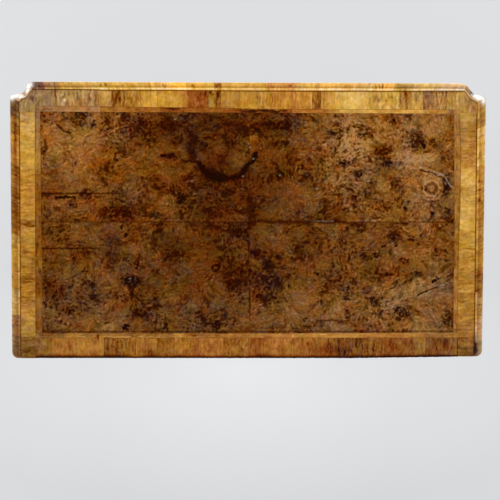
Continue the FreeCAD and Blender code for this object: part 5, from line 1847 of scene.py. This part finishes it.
def makeStretchers():
    # Four arms whose section is carried along the middle line, an eight-sided pad under each leg, and in the
    # middle a disc with its finial, both turned
    look = stretcherPlan
    low, high, disc = look["low"], look["high"], look["disc"]
    reach = np.array(look["reach"])
    line = armLine(reach, look["sagitta"])
    section = slabRing(look["width"], low, high - 0.2, 3.0)
    girth, run = lengths(section), lengths(line)[:, None]
    h, c = look["pad"], look["padCorner"]
    quarter = [(h, h - c), (h - c, h), (c - h, h), (-h, h - c)]
    pad = np.array(quarter + [(-x, -y) for x, y in quarter], float)[::-1]
    # The pad's sizes and heights: its edges are eased
    levels = np.array([(0.985, low), (1, low + 0.6), (1, high - 1.4), (0.985, high - 0.4), (0.955, high)])
    edge = np.array([
        (0.02, low), (disc - 2, low), (disc, low + 2), (disc, high - 5), (disc - 0.8, high - 2.4),
        (disc - 3, high - 0.6), (disc - 6, high), (0.02, high),
    ])
    finial = drawn(look["finial"], 12) + np.array([0, high])
    around = np.linspace(0, 1, 40, endpoint=False) * 150
    for hand, sign in (("left", -1), ("right", 1)):
        centre = np.array([sign * look["centre"][0], look["centre"][1]])
        parts = []
        for k, ways in enumerate(np.array([(1, 1), (1, -1), (-1, 1), (-1, -1)])):
            path = line * ways
            flat = path[:, None] + outward(path)[:, None] * section[None, :, :1] + centre
            shift = np.random.RandomState(620 + k).uniform(0, 900, 2)
            tint = 0.08 * cloud(run + shift[0], girth, 70, 621)
            grain = spread(run + shift[0], girth + shift[1])
            parts.append(tube(raised(flat, section[:, 1]), {"tint": tint, "grain": grain}))
            ring = raised(pad * levels[:, None, :1] + (centre + reach * ways), levels[:, 1:])
            grain = spread(ring[..., 0] + shift[0], ring[..., 1] + ring[..., 2])
            parts.append(tube(ring, {"tint": -0.03, "grain": grain}))
        for profile in (edge, finial):
            height = lengths(profile)[:, None]
            values = {"tint": 0.06 * cloud(height, around, 40, 630) - 0.03, "grain": spread(height, around)}
            parts.append(lathe(profile, *centre, 40, values))
        makePiece(
            hand + "_cross_stretcher", parts, finishes["solidMap"], "carcass",
            [hand + "_stretcher"], sharp=38,
        )


footProfile = [
    (0.02, 0), (18.5, 0), (20.5, 0.8), (36, 25, 21, 46), (18, 46.6), (17, 48), (17, 51), (18, 52.4),
    (23.4, 53), (26, 57.5, 24, 61.9), (0.02, 61.9),
]


def makeBallFeet():
    # Turned: the profile gives the radius at each height; the foot is darker towards the floor
    profile = drawn(footProfile, 12)
    height, around = lengths(profile)[:, None], np.linspace(0, 1, 44, endpoint=False) * 200
    darkerAtFloor = -0.16 * np.exp(-((profile[:, 1:2] / 8) ** 2))
    places = [(sign * x, y) for sign in (-1, 1) for x in legPlan["x"] for y in legPlan["y"]]
    parts = []
    for k, place in enumerate(places):
        shift = np.random.RandomState(640 + k).uniform(0, 900, 2)
        values = {
            "tint": darkerAtFloor + 0.08 * cloud(height + shift[0], around + shift[1], 40, 641) - 0.10,
            "grain": spread(height + shift[0], around + shift[1]),
        }
        parts.append(lathe(profile, *place, 44, values))
    finish = finishes["solidMap"]
    makePiece("turned_ball_feet", parts, finish, "carcass", ["ball_feet"], sharp=40)


makeLegs()
makeStretchers()
makeBallFeet()
print("legs, stretchers and feet made")


# Finishes of the nodes that stay as they are

nodeFinishes = {
    "solidX": ["kneehole_apron", "carcass_rails", "base_moulding"],
    "solidZ": ["right_outer_side", "left_outer_side", "left_inner_side", "right_inner_side", "cupboard_door"],
    "pineX": ["floor_boards", "dust_boards_and_guides"],
    "pineZ": ["back_boards"],
    "oakY": [],
    "iron": ["door_lock", "door_bolt", "door_key"],
    "brass": ["carcass_hinge_leaves", "door_hinge_leaves"],
}
endings = {"_drawer_front": "solidX", "_drawer_box": "oakY", "_fittings": "brass", "_bail": "brass"}
for name in nodes:
    for ending, key in endings.items():
        if name.endswith(ending):
            nodeFinishes[key].append(name)
for key, names in nodeFinishes.items():
    for name in names:
        mesh = nodes[name].data
        mesh.materials.clear()
        mesh.materials.append(finishes[key])
print("nodes finished")
